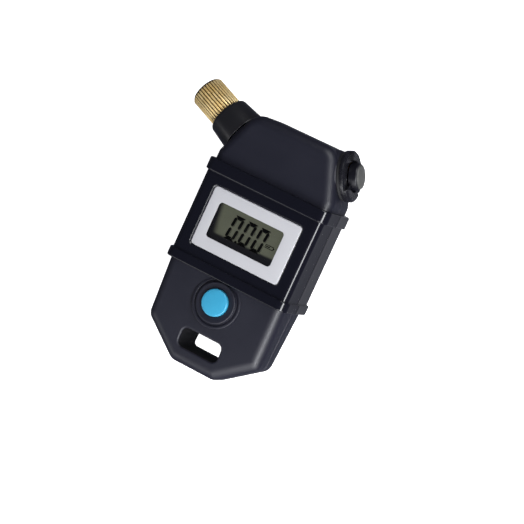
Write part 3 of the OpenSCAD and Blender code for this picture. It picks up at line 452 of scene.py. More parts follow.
# %% [markdown]
# ## Display and board
# The display is a grey-green liquid crystal cell behind a clear window. Towards its lower edge and its left
# edge it darkens with painted shade, as if in the shadow of the frame, so the colour follows the two
# distances to these edges. The circuit board is green lacquer over copper tracks.

# %% Display, window and board
low_painted_shade, low_tilt = (-4.5, -3.5), 0.023
left_painted_shade, left_tilt = (-13.4, -11.0), 0.146


def display_material():
    """Grey-green with painted shade that darkens it towards the lower and left edges of the view."""
    finish = Finish("display_cell", Roughness=0.35, IOR=1.3)
    x = finish.axis("X") * (1 / MM) - display_x
    y = finish.axis("Y") * (1 / MM) - display_y
    # Painted shade: darker towards the lower and the left edge of the view, as in the frame's shadow.
    low = finish.slope(y - low_tilt * x, *low_painted_shade)
    left = finish.slope(x + left_tilt * y, *left_painted_shade)
    mottle = finish.noise(260.0, 3.0)
    pale = finish.blend(mottle, (0.076, 0.08, 0.056), (0.09, 0.094, 0.067))
    colour = finish.blend(low * left, (0.006, 0.006, 0.0075), pale)
    return finish.feed(Base_Color=colour).material


def board_material():
    """Green lacquer with raised tracks where a slow field crosses its middle value."""
    finish = Finish("board_lacquer", Roughness=0.4)
    field = finish.noise(420.0, 1.0)
    track = finish.slope(field, 0.5, 0.52)
    colour = finish.blend(track, (0.01, 0.09, 0.035), (0.02, 0.16, 0.06))
    return finish.feed(Base_Color=colour, Normal=finish.bump(track, 0.4, 0.00005)).material


def flat_tone(name, dark, light, rough, alpha, bend):
    """Thin print: two close tones in fine speckle, as opaque as alpha says, with a shine that
    follows from how much it bends light."""
    finish = Finish(name, Roughness=rough, Alpha=alpha, IOR=bend)
    return finish.feed(Base_Color=finish.blend(finish.noise(3000.0, 1.0), dark, light)).material


display_finish = display_material()
board_finish = board_material()
window_finish = flat_tone("clear_window", (0.01, 0.01, 0.01), (0.012, 0.012, 0.012), 0.06, 0.05, 1.5)
segment_finish = flat_tone("display_segments", (0.0002, 0.0002, 0.0002), (0.0006, 0.0006, 0.0006),
                           0.8, 1.0, 1.05)
shade_finish = flat_tone("display_shade", (0.02, 0.021, 0.02), (0.026, 0.027, 0.025), 0.6, 0.25, 1.1)
print("display:", display_finish.name, "board:", board_finish.name)

# %% [markdown]
# ## From patches to pieces
# A piece is one mesh made of patches. Where two patches share a rim, their points are merged,
# so that the light runs smoothly over the seam. Edges sharper than a limit stay crisp.

# %% Patches into one piece
MERGE = 2e-6


def in_frame(points):
    """Display millimetres as metres in the frame."""
    return ((points + np.array([display_x, display_y, 0])) * MM).tolist()


def shown(name, data):
    """An object at the origin that holds the data, put in the scene."""
    made = bpy.data.objects.new(name, data)
    bpy.context.scene.collection.objects.link(made)
    return made


def piece(name, patches, body, finish, slot, *nodes, sharp=32.0, solid=True):
    """Joins patches in display millimetres into one mesh that rides on a body and stands
    for the named nodes. A piece that isn't solid keeps its faces as they were drawn."""
    starts = np.cumsum([0] + [len(points) for points, faces in patches])
    points = np.concatenate([points for points, faces in patches])
    faces = [face for (_, drawn), start in zip(patches, starts) for face in (drawn + start).tolist()]
    mesh = bpy.data.meshes.new(name)
    mesh.from_pydata(in_frame(points), [], faces)
    work = bmesh.new()
    work.from_mesh(mesh)
    bmesh.ops.remove_doubles(work, verts=work.verts, dist=MERGE)
    if solid:
        bmesh.ops.recalc_face_normals(work, faces=work.faces)
    work.to_mesh(mesh)
    work.free()
    mesh.shade_smooth()
    mesh.set_sharp_from_angle(angle=math.radians(sharp))
    mesh.materials.append(finish)
    made = shown(name, mesh)
    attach(made, body)
    if nodes:
        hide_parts(*nodes)
    print(name, "faces:", len(mesh.polygons))
    return made


# %% [markdown]
# ## Ports
# The head has two slanted faces. The chuck stands square on the left one and the release valve
# on the right one, so both are drawn upright on their own axis and then laid along it.

# %% Axes of the two ports
slant_start, slant_end = half_corners[3:]
port_slant = math.atan2(slant_start[0] - slant_end[0], slant_end[1] - slant_start[1])
LEFT, RIGHT = -1, 1
port_heights = {LEFT: 30.4, RIGHT: 32.0}


def at_port(patch, side):
    """Lays a patch on one of the slanted faces: its own Z points out of the face, its own Y along
    the face away from the display, and its own X to the back."""
    height = port_heights[side]
    angle = port_slant if side > 0 else math.pi - port_slant
    out = (math.cos(angle), math.sin(angle), 0.0)
    along = (-math.sin(angle), math.cos(angle), 0.0)
    back = (0.0, 0.0, -1.0)
    reach = slant_start[0] - (height - slant_start[1]) * math.tan(port_slant)
    place = (side * reach, height, housing_middle)
    return moved(patch, place, (back, along, out))


def port_axis(side, low=0.0):
    """A point on a port's axis, in the frame, and the way that the axis goes."""
    first, second = at_port((np.array([[0, 0, low], [0, 0, low + 1]]), None), side)[0]
    return in_frame(first), (second - first).tolist()


print("ports lean by", round(math.degrees(port_slant), 2), "degrees")

# %% [markdown]
# ## Housing
# The housing is two shells that meet on a parting line in the middle of the sides. Each shell is
# its outline carried over a rounded edge. Below the belt it grows thinner towards the end, so
# each flat face is drawn in two parts that meet in a bend under the belt's edge. The faces keep
# openings for the window, the button and the strap slot.

# %% Rows of the front shell
rim, seam_in, seam_deep = 0.25, 0.22, 1.4


def over_edge(wall, radius, face, side):
    """Rows of (inset, height) from a flat face over a rounded edge to a wall: a rim on the flat, then
    a quarter circle. The flat lies inside the wall, or outside it for a negative radius; side is +1
    for a front face and -1 for a back one."""
    angle = np.linspace(0, np.pi / 2, 10)
    inset = wall + np.append(radius + math.copysign(rim, radius), radius * (1 - np.sin(angle)))
    height = face - side * abs(radius) * np.append(0, 1 - np.cos(angle))
    return np.column_stack([inset, height])


front_side = np.vstack([over_edge(0, edge_round, housing_front, 1),
                        [(0, parting + 0.3), (seam_in, parting + 0.04), (seam_deep, parting + 0.04)]])
slot_y, button_y, slot_flare, slot_draft = -41.8, -25.7, 0.65, 0.55
bead_round, collar_radius, button_radius = 9.0, 7.3, 4.8
slot_width, slot_height, slot_round = 15.0, 6.0, 1.6
slot_loop = drawn_in(slot_width, slot_height, slot_round, (0.0, slot_y))
window_loop = drawn_in(window_width + 2 * slip, window_height + 2 * slip, frame_round)
slot_mouth = slot_draft + slot_flare + rim
slot_front = over_edge(-slot_draft, -slot_flare, housing_front, 1)
ledge_in, ledge_height, well_floor = 1.5, window_low - 0.05, 17.0
window_steps = [(0, housing_front), (0, ledge_height), (ledge_in, ledge_height), (ledge_in, well_floor)]
print("rows down the side:", len(front_side), "rows into the slot:", len(slot_front))

# %% [markdown]
# The bend lies where the belt's lower edge hides it, at the corner arcs of the outline. The
# button's bead cuts into the lower part from there, so that part's own outline runs along the
# bend to the bead, round the bead's visible arc and on along the bend.

# %% Two parts of a flat face
face_loop = housing_loop(edge_round + rim).reshape(len(corners), -1, 2)
bend = face_loop.shape[1] // 2
right_arc, left_arc = 2, len(corners) - 3
tail_loop = np.concatenate([face_loop[left_arc, bend:], *face_loop[left_arc + 1:],
                            *face_loop[:right_arc], face_loop[right_arc, :bend + 1]])
head_loop = np.concatenate([face_loop[right_arc, bend:], *face_loop[right_arc + 1:left_arc],
                            face_loop[left_arc, :bend + 1]])
bead_hole = bead_round - 0.05
cut_angle = math.asin((tail_start - button_y) / bead_hole)
sweep = np.linspace(cut_angle, -math.pi - cut_angle, 72)
bead_arc = arcs(0, button_y, bead_hole, sweep)
print("points of the head's part:", len(head_loop), "and of the tail's part:", len(tail_loop))

# %% [markdown]
# A low bead and a raised collar stand level round the power button, so they stand out most where
# the face has fallen away. They are one turned profile that ends inside the button's hole. The
# round pads on the slanted faces carry the neck of the chuck and the release valve.

# %% Front shell
collar_top = housing_front + 0.8
bead_top, bead_foot, bead_low = collar_top - 0.85, collar_top - 1.2, 20.0
hole_radius, hole_low = button_radius + slip, 20.6
surround = soft_path([(bead_round, bead_low), (bead_round, bead_top, 0.3),
                      (bead_round - 0.8, bead_top, 0.2), (bead_round - 1.1, bead_foot, 0.1),
                      (collar_radius, bead_foot, 0.1), (collar_radius, collar_top, 0.4),
                      (hole_radius, collar_top - 0.35, 0.25), (hole_radius, hole_low)])
pad = soft_path([(9.3, -4.2), (8.95, -1.2, 0.9), (8.4, 0.0, 0.5), (4.5, 0.0)])
head_face = filled([head_loop, window_loop(0)], housing_front)
tail_face = filled([np.concatenate([tail_loop, bead_arc]), slot_loop(-slot_mouth)], housing_front)
side_patches = [head_face, tail_face, lofted(housing_loop, front_side), lofted(slot_loop, slot_front)]
front_patches = [tapered(patch) for patch in side_patches]
front_patches += [lofted(window_loop, window_steps), moved(turned(surround), (0, button_y, 0)),
                  at_port(turned(pad), LEFT), at_port(turned(pad), RIGHT)]
piece("front_shell_skin", front_patches, "housing", housing_finish, "housing", "front_shell")

# %% [markdown]
# The rear shell is the same outline below the parting line. Its flat back has the other mouth
# of the strap slot, four sunk holes for the case screws and the opening for the battery cover.

# %% Rear shell
rear_side = np.vstack([[(seam_deep, parting - 0.09), (seam_in, parting - 0.09), (0, parting - 0.35)],
                       over_edge(0, edge_round, housing_back, -1)[::-1]])
slot_rear = over_edge(0, -slot_flare, housing_back, -1)[::-1]
tail_screws = [(-15.3, -38.4), (15.3, -38.4)]
head_screws = [(-7.8, 35.6), (7.8, 35.6)]
screw_radius, screw_floor = 2.02, 4.45
screw_hole = soft_path([(screw_radius + rim, housing_back), (screw_radius, housing_back, 0.15),
                        (screw_radius, screw_floor)])
cover_y, bay_radius = 0.55, 14.3
tail_back = filled([tail_loop, slot_loop(-slot_flare - rim)]
                   + [circle_loop(screw_radius + rim, place, 32) for place in tail_screws], housing_back)
head_back = filled([head_loop, circle_loop(bay_radius, (0.0, cover_y))]
                   + [circle_loop(screw_radius + rim, place, 32) for place in head_screws], housing_back)
rear_patches = [tail_back, head_back, lofted(housing_loop, rear_side), lofted(slot_loop, slot_rear)]
rear_patches += [moved(turned(screw_hole, 32), (x, y, 0)) for x, y in tail_screws + head_screws]
rear_patches = [tapered(patch) for patch in rear_patches]
piece("rear_shell_skin", rear_patches, "housing", housing_finish, "housing", "rear_shell")

# %% [markdown]
# The strap slot's walls run from one mouth to the other, and the front part widens a little towards its
# mouth, as the core that moulds it must draw out. The walls are a piece of their own, duller than the
# housing and darker with painted shade, as the deep slot would lie in shadow.

# %% Walls of the strap slot
front_wall = tapered(lofted(slot_loop, [(-slot_draft, housing_front - slot_flare), (0, parting + 0.02)]))
rear_wall = tapered(lofted(slot_loop, [(0, parting + 0.02), (0, housing_back + slot_flare)]))
# The slot's walls carry painted shade.
piece("recess_painted_shade", [front_wall, rear_wall], "housing", recess_shade_finish, "housing", solid=False)

# %% [markdown]
# ## Belt
# A glossy belt goes round the middle of the housing, with a raised ridge along each edge. Its
# cross section is a rectangle with round corners, and the distance that it stands out follows
# a profile along the body: up the ridge, down to the plain band, and up the second ridge.

# %% Section and profile of the belt
under, ridge, soft = -1.15, 0.9, 0.6
belt_path = [(-18.2, under), (-18.2, ridge, soft), (-14.6, ridge, soft), (-14.6, 0, 0.1),
             (14.8, 0, 0.1), (14.8, ridge, soft), (19.3, ridge, soft), (19.3, under)]
belt_rows = soft_path(belt_path)
flat_row = int(np.argmax(np.diff(belt_rows[:, 0])))
draft = 0.2


def belt_grid(face, side, end, rows):
    """Grid of the belt's front or back half. Across, it runs up one side, round a corner,
    over the flat and down the other side; along, the rows give place and stand-out. Each side
    leans in by the draft that lets a moulding leave its tool.
    face is the flat's height, side is +1 for the front and -1 for the back."""
    stand = rows[:, 1:]
    side_half = belt_width / 2 - belt_round
    half = side_half - draft
    angle = np.linspace(np.pi, np.pi / 2, 10)
    reach = belt_round + stand
    x_arc = -half + reach * np.cos(angle)
    z_arc = face + side * (reach * np.sin(angle) - belt_round)
    x_left = np.hstack([-side_half - reach, -half - reach, x_arc, -half + rim + 0 * stand])
    z_flat = face + side * stand
    z_left = np.hstack([end + 0 * stand, z_arc[:, :1] - side * rim, z_arc, z_flat])
    x = np.hstack([x_left, -x_left[:, ::-1]])
    z = np.hstack([z_left, z_left[:, ::-1]])
    y = np.broadcast_to(rows[:, :1], x.shape)
    return np.stack([x, y, z], -1)


def without_flat(grid, row):
    """The grid's faces, less the one over the flat between a row and the next."""
    points, faces = woven(grid, closed=False)
    across = grid.shape[1] - 1
    keep = np.ones(len(faces), bool)
    keep[row * across + across // 2] = False
    return points, faces[keep]


def flat_corners(grid, row):
    """The four corners of that face, as an outer loop of (x, y)."""
    middle = grid.shape[1] // 2
    return grid[[row, row, row + 1, row + 1], [middle - 1, middle, middle, middle - 1], :2]


print("rows along the belt:", len(belt_rows), "plain band after row", flat_row)

# %% [markdown]
# The front half frames the display: its flat has a shallow pocket with a bevelled edge, and the
# silver frame lies in it. The rear half has a round hole for the battery cover.

# %% Belt, front and rear
front_rows = np.insert(belt_rows, flat_row + 1, [(belt_rows[flat_row, 0] + rim, 0),
                                                 (belt_rows[flat_row + 1, 0] - rim, 0)], axis=0)
bevel = 0.45
pocket_loop = drawn_in(frame_width + 2 * slip, frame_height + 2 * slip, frame_round + slip, least=0.2)
front_grid = belt_grid(belt_front, 1, parting + 0.16, front_rows)
shelf_in, shelf_height = 1.2, frame_low - 0.05
pocket = np.vstack([[(-bevel - rim, belt_front)],
                    soft_path([(-bevel, belt_front), (0, belt_front - 0.9 * bevel, 0.1),
                               (0, shelf_height), (shelf_in, shelf_height)], 3)])
bezel_patches = [without_flat(front_grid, flat_row + 1), lofted(pocket_loop, pocket),
                 filled([flat_corners(front_grid, flat_row + 1), pocket_loop(-bevel - rim)], belt_front)]
piece("belt_front_half", bezel_patches, "housing", belt_finish, "belt", "display_bezel")

rear_grid = belt_grid(belt_back, -1, parting - 0.2, belt_rows)
cover_hole = 14.12
hole_wall = turned([(cover_hole, belt_back), (cover_hole, housing_back + 0.1)])
rear_loops = [flat_corners(rear_grid, flat_row), circle_loop(cover_hole, (0.0, cover_y))]
band_patches = [without_flat(rear_grid, flat_row), moved(hole_wall, (0, cover_y, 0)),
                filled(rear_loops, belt_back)]
piece("belt_rear_half", band_patches, "housing", belt_finish, "belt", "rear_band")

# %% [markdown]
# ## Silver frame, window and display
# The frame is a flat ring with softly rounded edges, carried from its outer loop to its inner one, with a
# painted highlight along its rounded outer edge. Below the ring, a near-black edge goes round the view as
# painted shade. Neither casts a shadow, so that the panels light the display evenly. The clear window lies
# under the frame, and the display's cell under the window.

# %% Silver frame
ring_width, ring_foot = 4.6, frame_top - 0.15
ring_profile = soft_path([(0, frame_low), (0, frame_top, 0.3), (ring_width, frame_top, 0.06),
                          (ring_width, ring_foot)])


def ring_loop(inset):
    """Loop between the frame's outline and the view: width, height and middle all go in
    step from one to the other, and the corners keep their radius."""
    share = inset / ring_width
    return rounded_loop(frame_width + (view_width - frame_width) * share,
                        frame_height + (view_height - frame_height) * share,
                        frame_round, (view_shift * share, 0.0))


silver_ring = piece("silver_ring", [lofted(ring_loop, ring_profile)], "housing", silver_finish, "silver",
                    "silver_frame")
silver_ring.visible_shadow = False
wall_rows = [(ring_width, ring_foot), (ring_width, frame_low)]
# Painted shade: a near-black wall under the ring, round the view.
view_shade_wall = piece("view_edge_painted_shade", [lofted(ring_loop, wall_rows)], "housing", recess_shade_finish, "belt", solid=False)
view_shade_wall.visible_shadow = False

# %% Window and display cell


def plate(width, height, radius, low, top, soft, centre=(0.0, 0.0)):
    """Closed flat plate with a bevelled upper edge."""
    loop = drawn_in(width, height, radius, centre)
    sides = lofted(loop, [(0, low), (0, top - soft), (soft, top)])
    return [sides, filled([loop(0)], low), filled([loop(soft)], top)]


pane_round, cell_round, bevelled, ledge = 1.48, 0.3, 0.1, 1.6
piece("clear_pane", plate(window_width, window_height, pane_round, window_low, window_top, bevelled),
      "housing", window_finish, "clear", "display_window")
cell_patches = plate(glass_width, glass_height, cell_round, glass_low, glass_low + 0.98, bevelled)
cell_patches += plate(glass_width, glass_height - ledge, cell_round, glass_low + 1.0, glass_top, bevelled,
                      (0.0, ledge / 2))
piece("display_cell_glass", cell_patches, "housing", display_finish, "display", "display_glass")

# %% [markdown]
# The digits are the classic seven bars, here six of them lit in each of three zeros. An upright
# bar is a hexagon with pointed ends, and a level bar is wide outside and narrow inside; the other
# bars of a zero mirror these two. Real cells show a soft shade of each bar on the layer behind, so
# a second, paler set lies under it. The point after the first zero and a small battery mark are
# plain rectangles.

# %% Digits
digit_w, digit_h, bar, level_bar, lean = 3.75, 9.0, 1.0, 1.3, 0.12
digit_x, digit_y, pitch, gap = -7.35, -4.4, 5.15, 0.14
half = np.array([digit_w, digit_h]) / 2
low_tip, high_tip = level_bar / 2, digit_h / 2 - gap
low_bar = np.array([(0, 0), (digit_w, 0), (digit_w - level_bar, level_bar), (level_bar, level_bar)]) - half
left_bar = np.array([(bar / 2, low_tip), (bar, low_tip + bar / 2), (bar, high_tip - bar / 2),
                     (bar / 2, high_tip), (0, high_tip - bar / 2), (0, low_tip + bar / 2)]) - half
mirrors = [(low_bar, 1, 1), (low_bar, 1, -1)] + [(left_bar, x, y) for x in (1, -1) for y in (1, -1)]
zero = [(outline * (x, y))[::x * y] + half for outline, x, y in mirrors]


def bar_faces(shift_x, shift_y, height):
    """Every bar of the three zeros as one flat face: it moves to its digit's place and leans to
    the right by a share of its height, and the whole may be shifted."""
    faces = []
    for start in digit_x + pitch * np.arange(3):
        for outline in zero:
            x, y = (outline + (start, digit_y)).T
            leaning = np.column_stack([x + lean * y + shift_x, y + shift_y])
            faces.append((np.insert(leaning, 2, height, axis=1), np.arange(len(x))[None]))
    return faces


def blocks(boxes, height):
    """Flat rectangles from rows of x, y, width and height: each corner is the place plus the
    size times 0 or 1."""
    x, y, width, tall = np.array(boxes, float).T[:, :, None]
    points = np.stack([x + width * np.array([0, 1, 1, 0]), y + tall * np.array([0, 0, 1, 1]),
                       np.full((len(boxes), 4), height)], -1)
    return points.reshape(-1, 3), np.arange(4 * len(boxes)).reshape(-1, 4)


battery_mark = [(7.3, -1.1, 3.3, 0.22), (7.3, -0.02, 3.3, 0.22), (7.3, -0.88, 0.22, 0.86),
                (10.38, -0.88, 0.22, 0.86), (10.6, -0.7, 0.35, 0.5), (7.75, -0.68, 0.6, 0.46),
                (8.55, -0.68, 0.6, 0.46)]
lit_height, shade_height = glass_top + 0.04, glass_top + 0.02
point_mark = (digit_x + 3.85, digit_y, 0.8, 0.8)
lit = bar_faces(0, 0, lit_height) + [blocks([point_mark] + battery_mark, lit_height)]
piece("display_digits", lit, "housing", segment_finish, "display", solid=False)
piece("display_digit_shade", bar_faces(0.4, -0.2, shade_height), "housing", shade_finish, "display",
      solid=False)

# %% [markdown]
# ## Power button
# The button is a blue cap with a barely crowned face and a rounded edge. A wider lip below
# keeps it in its hole, and a foot reaches down to the switch.

# %% Power button
button_top, button_lip = 25.4, 18.9
crown_r = np.linspace(0, 4.1, 9)
lip_radius, foot_radius, foot_low = button_radius + 1.2, 1.7, button_lip - 0.15
crown = np.column_stack([crown_r, button_top - 0.3 * (crown_r / 5) ** 2])
button_side = soft_path([crown[-1], (button_radius, button_top - 0.32, 0.45),
                         (button_radius, button_lip + 1),
                         (lip_radius, button_lip + 1, 0.1), (lip_radius, button_lip, 0.1),
                         (foot_radius, button_lip), (foot_radius, foot_low), (0, foot_low)])
button_turned = turned(np.vstack([crown, button_side[1:]]))
piece("power_button_cap", [moved(button_turned, (0, button_y, 0))], "power_button", button_finish, "blue",
      "power_button")

# %% [markdown]
# ## Chuck
# The chuck is turned from brass and knurled with straight grooves, so that it grips when it is
# screwed on a tyre valve. The grooves are a wave round the axis, cut into the radius. Inside,
# a real thread winds down the bore: the radius follows height and angle together.

# %% Neck collar
neck_low, neck_end, neck_hole = 0.35, 9.85, 5.25
neck = soft_path([(neck_hole, neck_low), (8.4, neck_low, 0.3), (7.4, neck_end, 1.3),
                  (neck_hole, neck_end)], 8)
piece("neck_sleeve", [at_port(turned(neck), LEFT)], "housing", collar_finish, "collar",
      "neck_collar")

# %% Knurled chuck
chuck_radius, chuck_low, chuck_end, thread_low = 6.2, 10.05, 22.05, 14.45
knurl_count, knurl_deep = 34, 0.34
pin_hole, spigot_radius, spigot_low = 1.5, 4.0, 4.45
grip = np.array([(pin_hole, spigot_low, 0), (spigot_radius - 0.2, spigot_low, 0),
                 (spigot_radius, spigot_low + 0.2, 0), (spigot_radius, chuck_low, 0),
                 (5.8, chuck_low, 0), (chuck_radius - 0.1, chuck_low + 0.1, 0.6),
                 (chuck_radius, chuck_low + 0.3, 1), (chuck_radius, chuck_end - 1.0, 1),
                 (chuck_radius - 0.14, chuck_end - 0.78, 1), (chuck_radius - 0.4, chuck_end - 0.48, 0.6),
                 (5.58, chuck_end - 0.24, 0), (5.3, chuck_end, 0), (4.6, chuck_end, 0),
                 (4.2, chuck_end - 0.35, 0)])


def knurled(profile, count, deep, steps=12):
    """Turned profile with grooves: radius - deep * mask * wave, where the wave rounds off a
    cosine so that flat ribs stand between narrow troughs."""
    steep, widen, full = 2.2, 0.1, 2.4
    angle = full_turn(count * steps)
    wave = 0.5 - 0.5 * np.tanh(steep * (np.cos(count * angle) + widen)) / np.tanh(full)
    radius = profile[:, :1] - deep * profile[:, 2:] * np.clip(wave, 0, 1)
    return spun(radius, angle, profile[:, 1:2])


def threaded(radius, low, top, pitch, deep, spin=64, steps=8):
    """Bore with a thread: radius + deep * triangle(height / pitch - angle / turn)."""
    angle = full_turn(spin)
    height = np.linspace(top, low, int((top - low) / pitch * steps) + 1)[:, None]
    phase = (height / pitch - angle / (2 * np.pi)) % 1.0
    fade = np.clip((top - height) / pitch, 0.3, 1)
    bore = radius + deep * (1 - np.abs(2 * phase - 1)) * fade
    return spun(bore, angle, height)


thread_radius, thread_pitch, thread_deep = 3.9, 0.794, 0.4
# Painted shade: dark brown at the bottom of the knurl's grooves, fading out towards the ribs.
brass_groove_shade = ((0.1, 0.05, 0.012), port_axis(LEFT), (chuck_radius - knurl_deep) * MM,
                (chuck_radius - 0.2) * MM)
chuck_finish = turned_metal("knurled_brass", (0.9, 0.62, 0.22), (1.0, 0.79, 0.4), 0.26, 0.2, 0.5,
                            brass_groove_shade)
chuck_patches = [knurled(grip, knurl_count, knurl_deep),
                 threaded(thread_radius, thread_low, chuck_end - 0.35, thread_pitch, thread_deep),
                 turned([(4.35, thread_low), (pin_hole, thread_low)], 64)]
piece("knurled_chuck", [at_port(patch, LEFT) for patch in chuck_patches], "chuck", chuck_finish,
      "brass", "chuck", sharp=50.0)

# %% [markdown]
# ## Release valve
# On the other face sits the valve that lets air out: a washer, a ring nut with raised lobes that
# guard the button, and the button's cap in the middle. A lobe is a section swept round the axis
# between two angles, drawn in at both ends so that its ends are rounded.

# %% Washer, nut and release button


def lobe(section, start, end, soft=2.5, steps=24):
    """Section of (radius, height) swept from one angle to another; at each end it shrinks
    towards its middle along a quarter circle, and closes."""
    middle = section.mean(axis=0)
    ease = np.linspace(0, np.pi / 2, 5)
    grow = 0.86 + 0.14 * np.sin(ease)
    angle = np.concatenate([[start], start + soft * (1 - np.cos(ease)),
                            np.linspace(start + soft, end - soft, steps)[1:-1],
                            end - soft * (1 - np.cos(ease[::-1])), [end]])
    size = np.concatenate([[0], grow, np.ones(steps - 2), grow[::-1], [0]])
    radius = middle[0] + (section[:, 0] - middle[0]) * size[:, None]
    height = middle[1] + (section[:, 1] - middle[1]) * size[:, None]
    return spun(radius, np.radians(angle)[:, None], height)


nut_low, nut_radius, nut_hole, lobe_low, lobe_top = 1.2, 8.9, 5.0, 1.3, 2.78
washer_hole, washer_radius, washer_low, washer_top = 5.3, 8.5, 0.05, 1.15
washer_profile = soft_path([(washer_hole, washer_low), (washer_radius, washer_low, 0.3),
                            (washer_radius, washer_top, 0.3), (washer_hole, washer_top)])
nut_profile = soft_path([(5.25, 0), (nut_radius, 0, 0.2), (nut_radius, 1.2, 0.15), (7.9, 1.7, 0.15),
                         (nut_hole, 1.7, 0.15), (nut_hole, 0.55)]) + (0, nut_low)
lobe_section = soft_path([(7.2, lobe_low), (nut_radius, lobe_low), (nut_radius, 2.15, 0.15),
                          (8.3, lobe_top, 0.15), (5.5, lobe_top, 0.3), (5.5, lobe_low),
                          (7.2, lobe_low)])[:-1] + (0, nut_low)
lobes = [lobe(lobe_section, start, end) for start, end in ((218, 315), (325, 359), (9, 106))]
piece("release_seat_washer", [at_port(turned(washer_profile), RIGHT)], "housing",
      rubber_finish, "seal", "release_washer")
nut_patches = [at_port(patch, RIGHT) for patch in [turned(nut_profile)] + lobes]
piece("release_ring_nut", nut_patches, "housing", valve_finish, "dark_metal", "release_nut")
stem_radius, stem_low, cap_low = 1.7, -13.1, 3.1
cap = soft_path([(0, 6.8), (2.4, 6.76), (3.9, 6.66, 0.25), (4.7, 5.8, 0.4), (4.75, cap_low, 0.2),
                 (stem_radius, cap_low), (stem_radius, stem_low), (0, stem_low)], 8)
cap_middle, cap_way = port_axis(RIGHT)
cap_finish = cap_with_painted_shade("cap_with_painted_shade", cap_middle, cap_way, 5.9 * MM, 6.5 * MM)
piece("release_cap", [at_port(turned(cap), RIGHT)], "release_button", cap_finish, "grey_metal",
      "release_button")

# %% [markdown]
# A coil spring round the button's stem pushes it out again. It is wound here as a tube along a helix, with
# its inner end resting in the valve's bore.

# %% Release spring


def coil(radius, wire, low, high, turns, steps=24, sides=8):
    """Tube along a helix: the middle goes round at one radius and climbs evenly, and the tube's
    own circle adds wire * cos to the radius and wire * sin to the height. The first and the last
    row shrink to a point, which closes the ends."""
    angle = np.linspace(0, 2 * np.pi * turns, turns * steps + 1)
    angle = np.concatenate([angle[:1], angle, angle[-1:]])[:, None]
    size = np.full(angle.shape, wire)
    size[[0, -1]] = 0
    ring = full_turn(sides)
    out = radius + size * np.cos(ring)
    height = low + wire + (high - low - 2 * wire) * angle / angle[-1] + size * np.sin(ring)
    return spun(out, angle, height)


spring_low, spring_high, release_travel = -7.95, 3.05, 1.2
spring_radius, spring_wire, spring_turns = 2.9, 0.35, 7
spring_tube = coil(spring_radius, spring_wire, spring_low, spring_high, spring_turns)
release_coil = piece("release_coil", [at_port(spring_tube, RIGHT)], "housing", steel_finish,
                     "steel", "release_spring")
spring_foot = port_axis(RIGHT, spring_low)[0]
tuple(cap_way)
tuple(spring_foot)
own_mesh(release_coil)

# %% [markdown]
# ## Battery cover
# On the back a round cover closes the battery's bay. A coin fits its slot and turns it through
# sixty degrees. The slot is a hole in the face, with walls and a floor.

# %% Battery cover
cover_low, cover_high, cup_top = 0.95, 2.95, 5.7
cover_radius, cup_out, cup_in = 14.0, 11.0, 10.1
groove_out, groove_in, groove_deep = 12.35, 11.65, 0.25
coin_width, coin_height, coin_round, coin_soft, coin_deep = 15.0, 2.0, 0.6, 0.15, 0.9
coin_loop = drawn_in(coin_width, coin_height, coin_round)
cover_edge = soft_path([(groove_out, cover_low), (cover_radius, cover_low, 0.35),
                        (cover_radius, cover_high), (cup_out, cover_high), (cup_out, cup_top),
                        (cup_in, cup_top), (cup_in, cover_high), (0, cover_high)])
cover_groove = soft_path([(groove_out, cover_low), (groove_out - 0.15, cover_low + groove_deep, 0.05),
                          (groove_in + 0.15, cover_low + groove_deep, 0.05), (groove_in, cover_low)])
coin_walls = [(-coin_soft, cover_low), (0, cover_low + coin_soft), (0, cover_low + coin_deep)]
cover_patches = [turned(cover_edge), turned(cover_groove), lofted(coin_loop, coin_walls),
                 filled([circle_loop(groove_in), coin_loop(-coin_soft)], cover_low),
                 filled([coin_loop(0)], cover_low + coin_deep)]
piece("battery_lid", [moved(patch, (0, cover_y, 0)) for patch in cover_patches], "battery_cover",
      cover_finish, "cover", "battery_cover")

# %% [markdown]
# ## Pieces that keep their solid
# Screws, seals and the parts inside are already the right shape, so they only get their finish.

# %% Finishes for the other nodes
kept = {
    steel_finish: ["board_screws", "case_screws", "coin_cell", "chuck_pin", "chuck_clip"],
    rubber_finish: ["contact_strip", "sensor_seal", "cover_seal", "chuck_seal", "chuck_ring", "poppet_seal"],
    brass_finish: ["valve_body", "release_poppet"],
    contact_finish: ["contact_plus", "contact_minus"],
    pale_finish: ["display_holder", "pressure_sensor"],
    board_finish: ["circuit_board"],
    switch_finish: ["push_switch"],
    plunger_finish: ["switch_plunger"],
}
for finish, names in kept.items():
    for name in names:
        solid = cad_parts[name]
        if not solid.material_slots:
            solid.data.materials.append(finish)
        for slot in solid.material_slots:
            slot.material = finish
print("solids kept:", sum(len(names) for names in kept.values()))

# %% [markdown]
# ## Studio
# The gauge lies in a white sweep: a floor that curves up into a wall and on into a ceiling, so
# that every view has the same plain ground. It only shows; it doesn't light the gauge.
# Seen from its outer side it is clear, so that the back can be looked at from below.

# %% Floor, wall and ceiling
sweep_radius, sweep_top, sweep_soft, sweep_drop = 2.0, 2.4, 0.8, 0.0002
sweep_path = soft_path([(0, 0), (sweep_radius, 0, sweep_soft), (sweep_radius, sweep_top, sweep_soft),
                        (0, sweep_top)], 12)
sweep_points, sweep_faces = turned(sweep_path)
floor_mesh = bpy.data.meshes.new("studio_floor")
floor_mesh.from_pydata(sweep_points.tolist(), [], sweep_faces[:, ::-1].tolist())
floor = shown("studio_floor", floor_mesh)
floor_finish = Finish("studio_white", Roughness=0.9, Emission_Strength=1.0)
floor_finish.shader.inputs["Emission Color"].default_value = (1, 1, 1, 1)
paint = floor_finish.blend(floor_finish.noise(3.0), (0.8, 0.8, 0.8), (0.82, 0.82, 0.82))
floor_finish.feed(Base_Color=paint)
outer_side = floor_finish.add("ShaderNodeNewGeometry", {}, {}, "Backfacing")
clear = floor_finish.add("ShaderNodeBsdfTransparent", {}, {})
white = Value(floor_finish, floor_finish.shader.outputs[0])
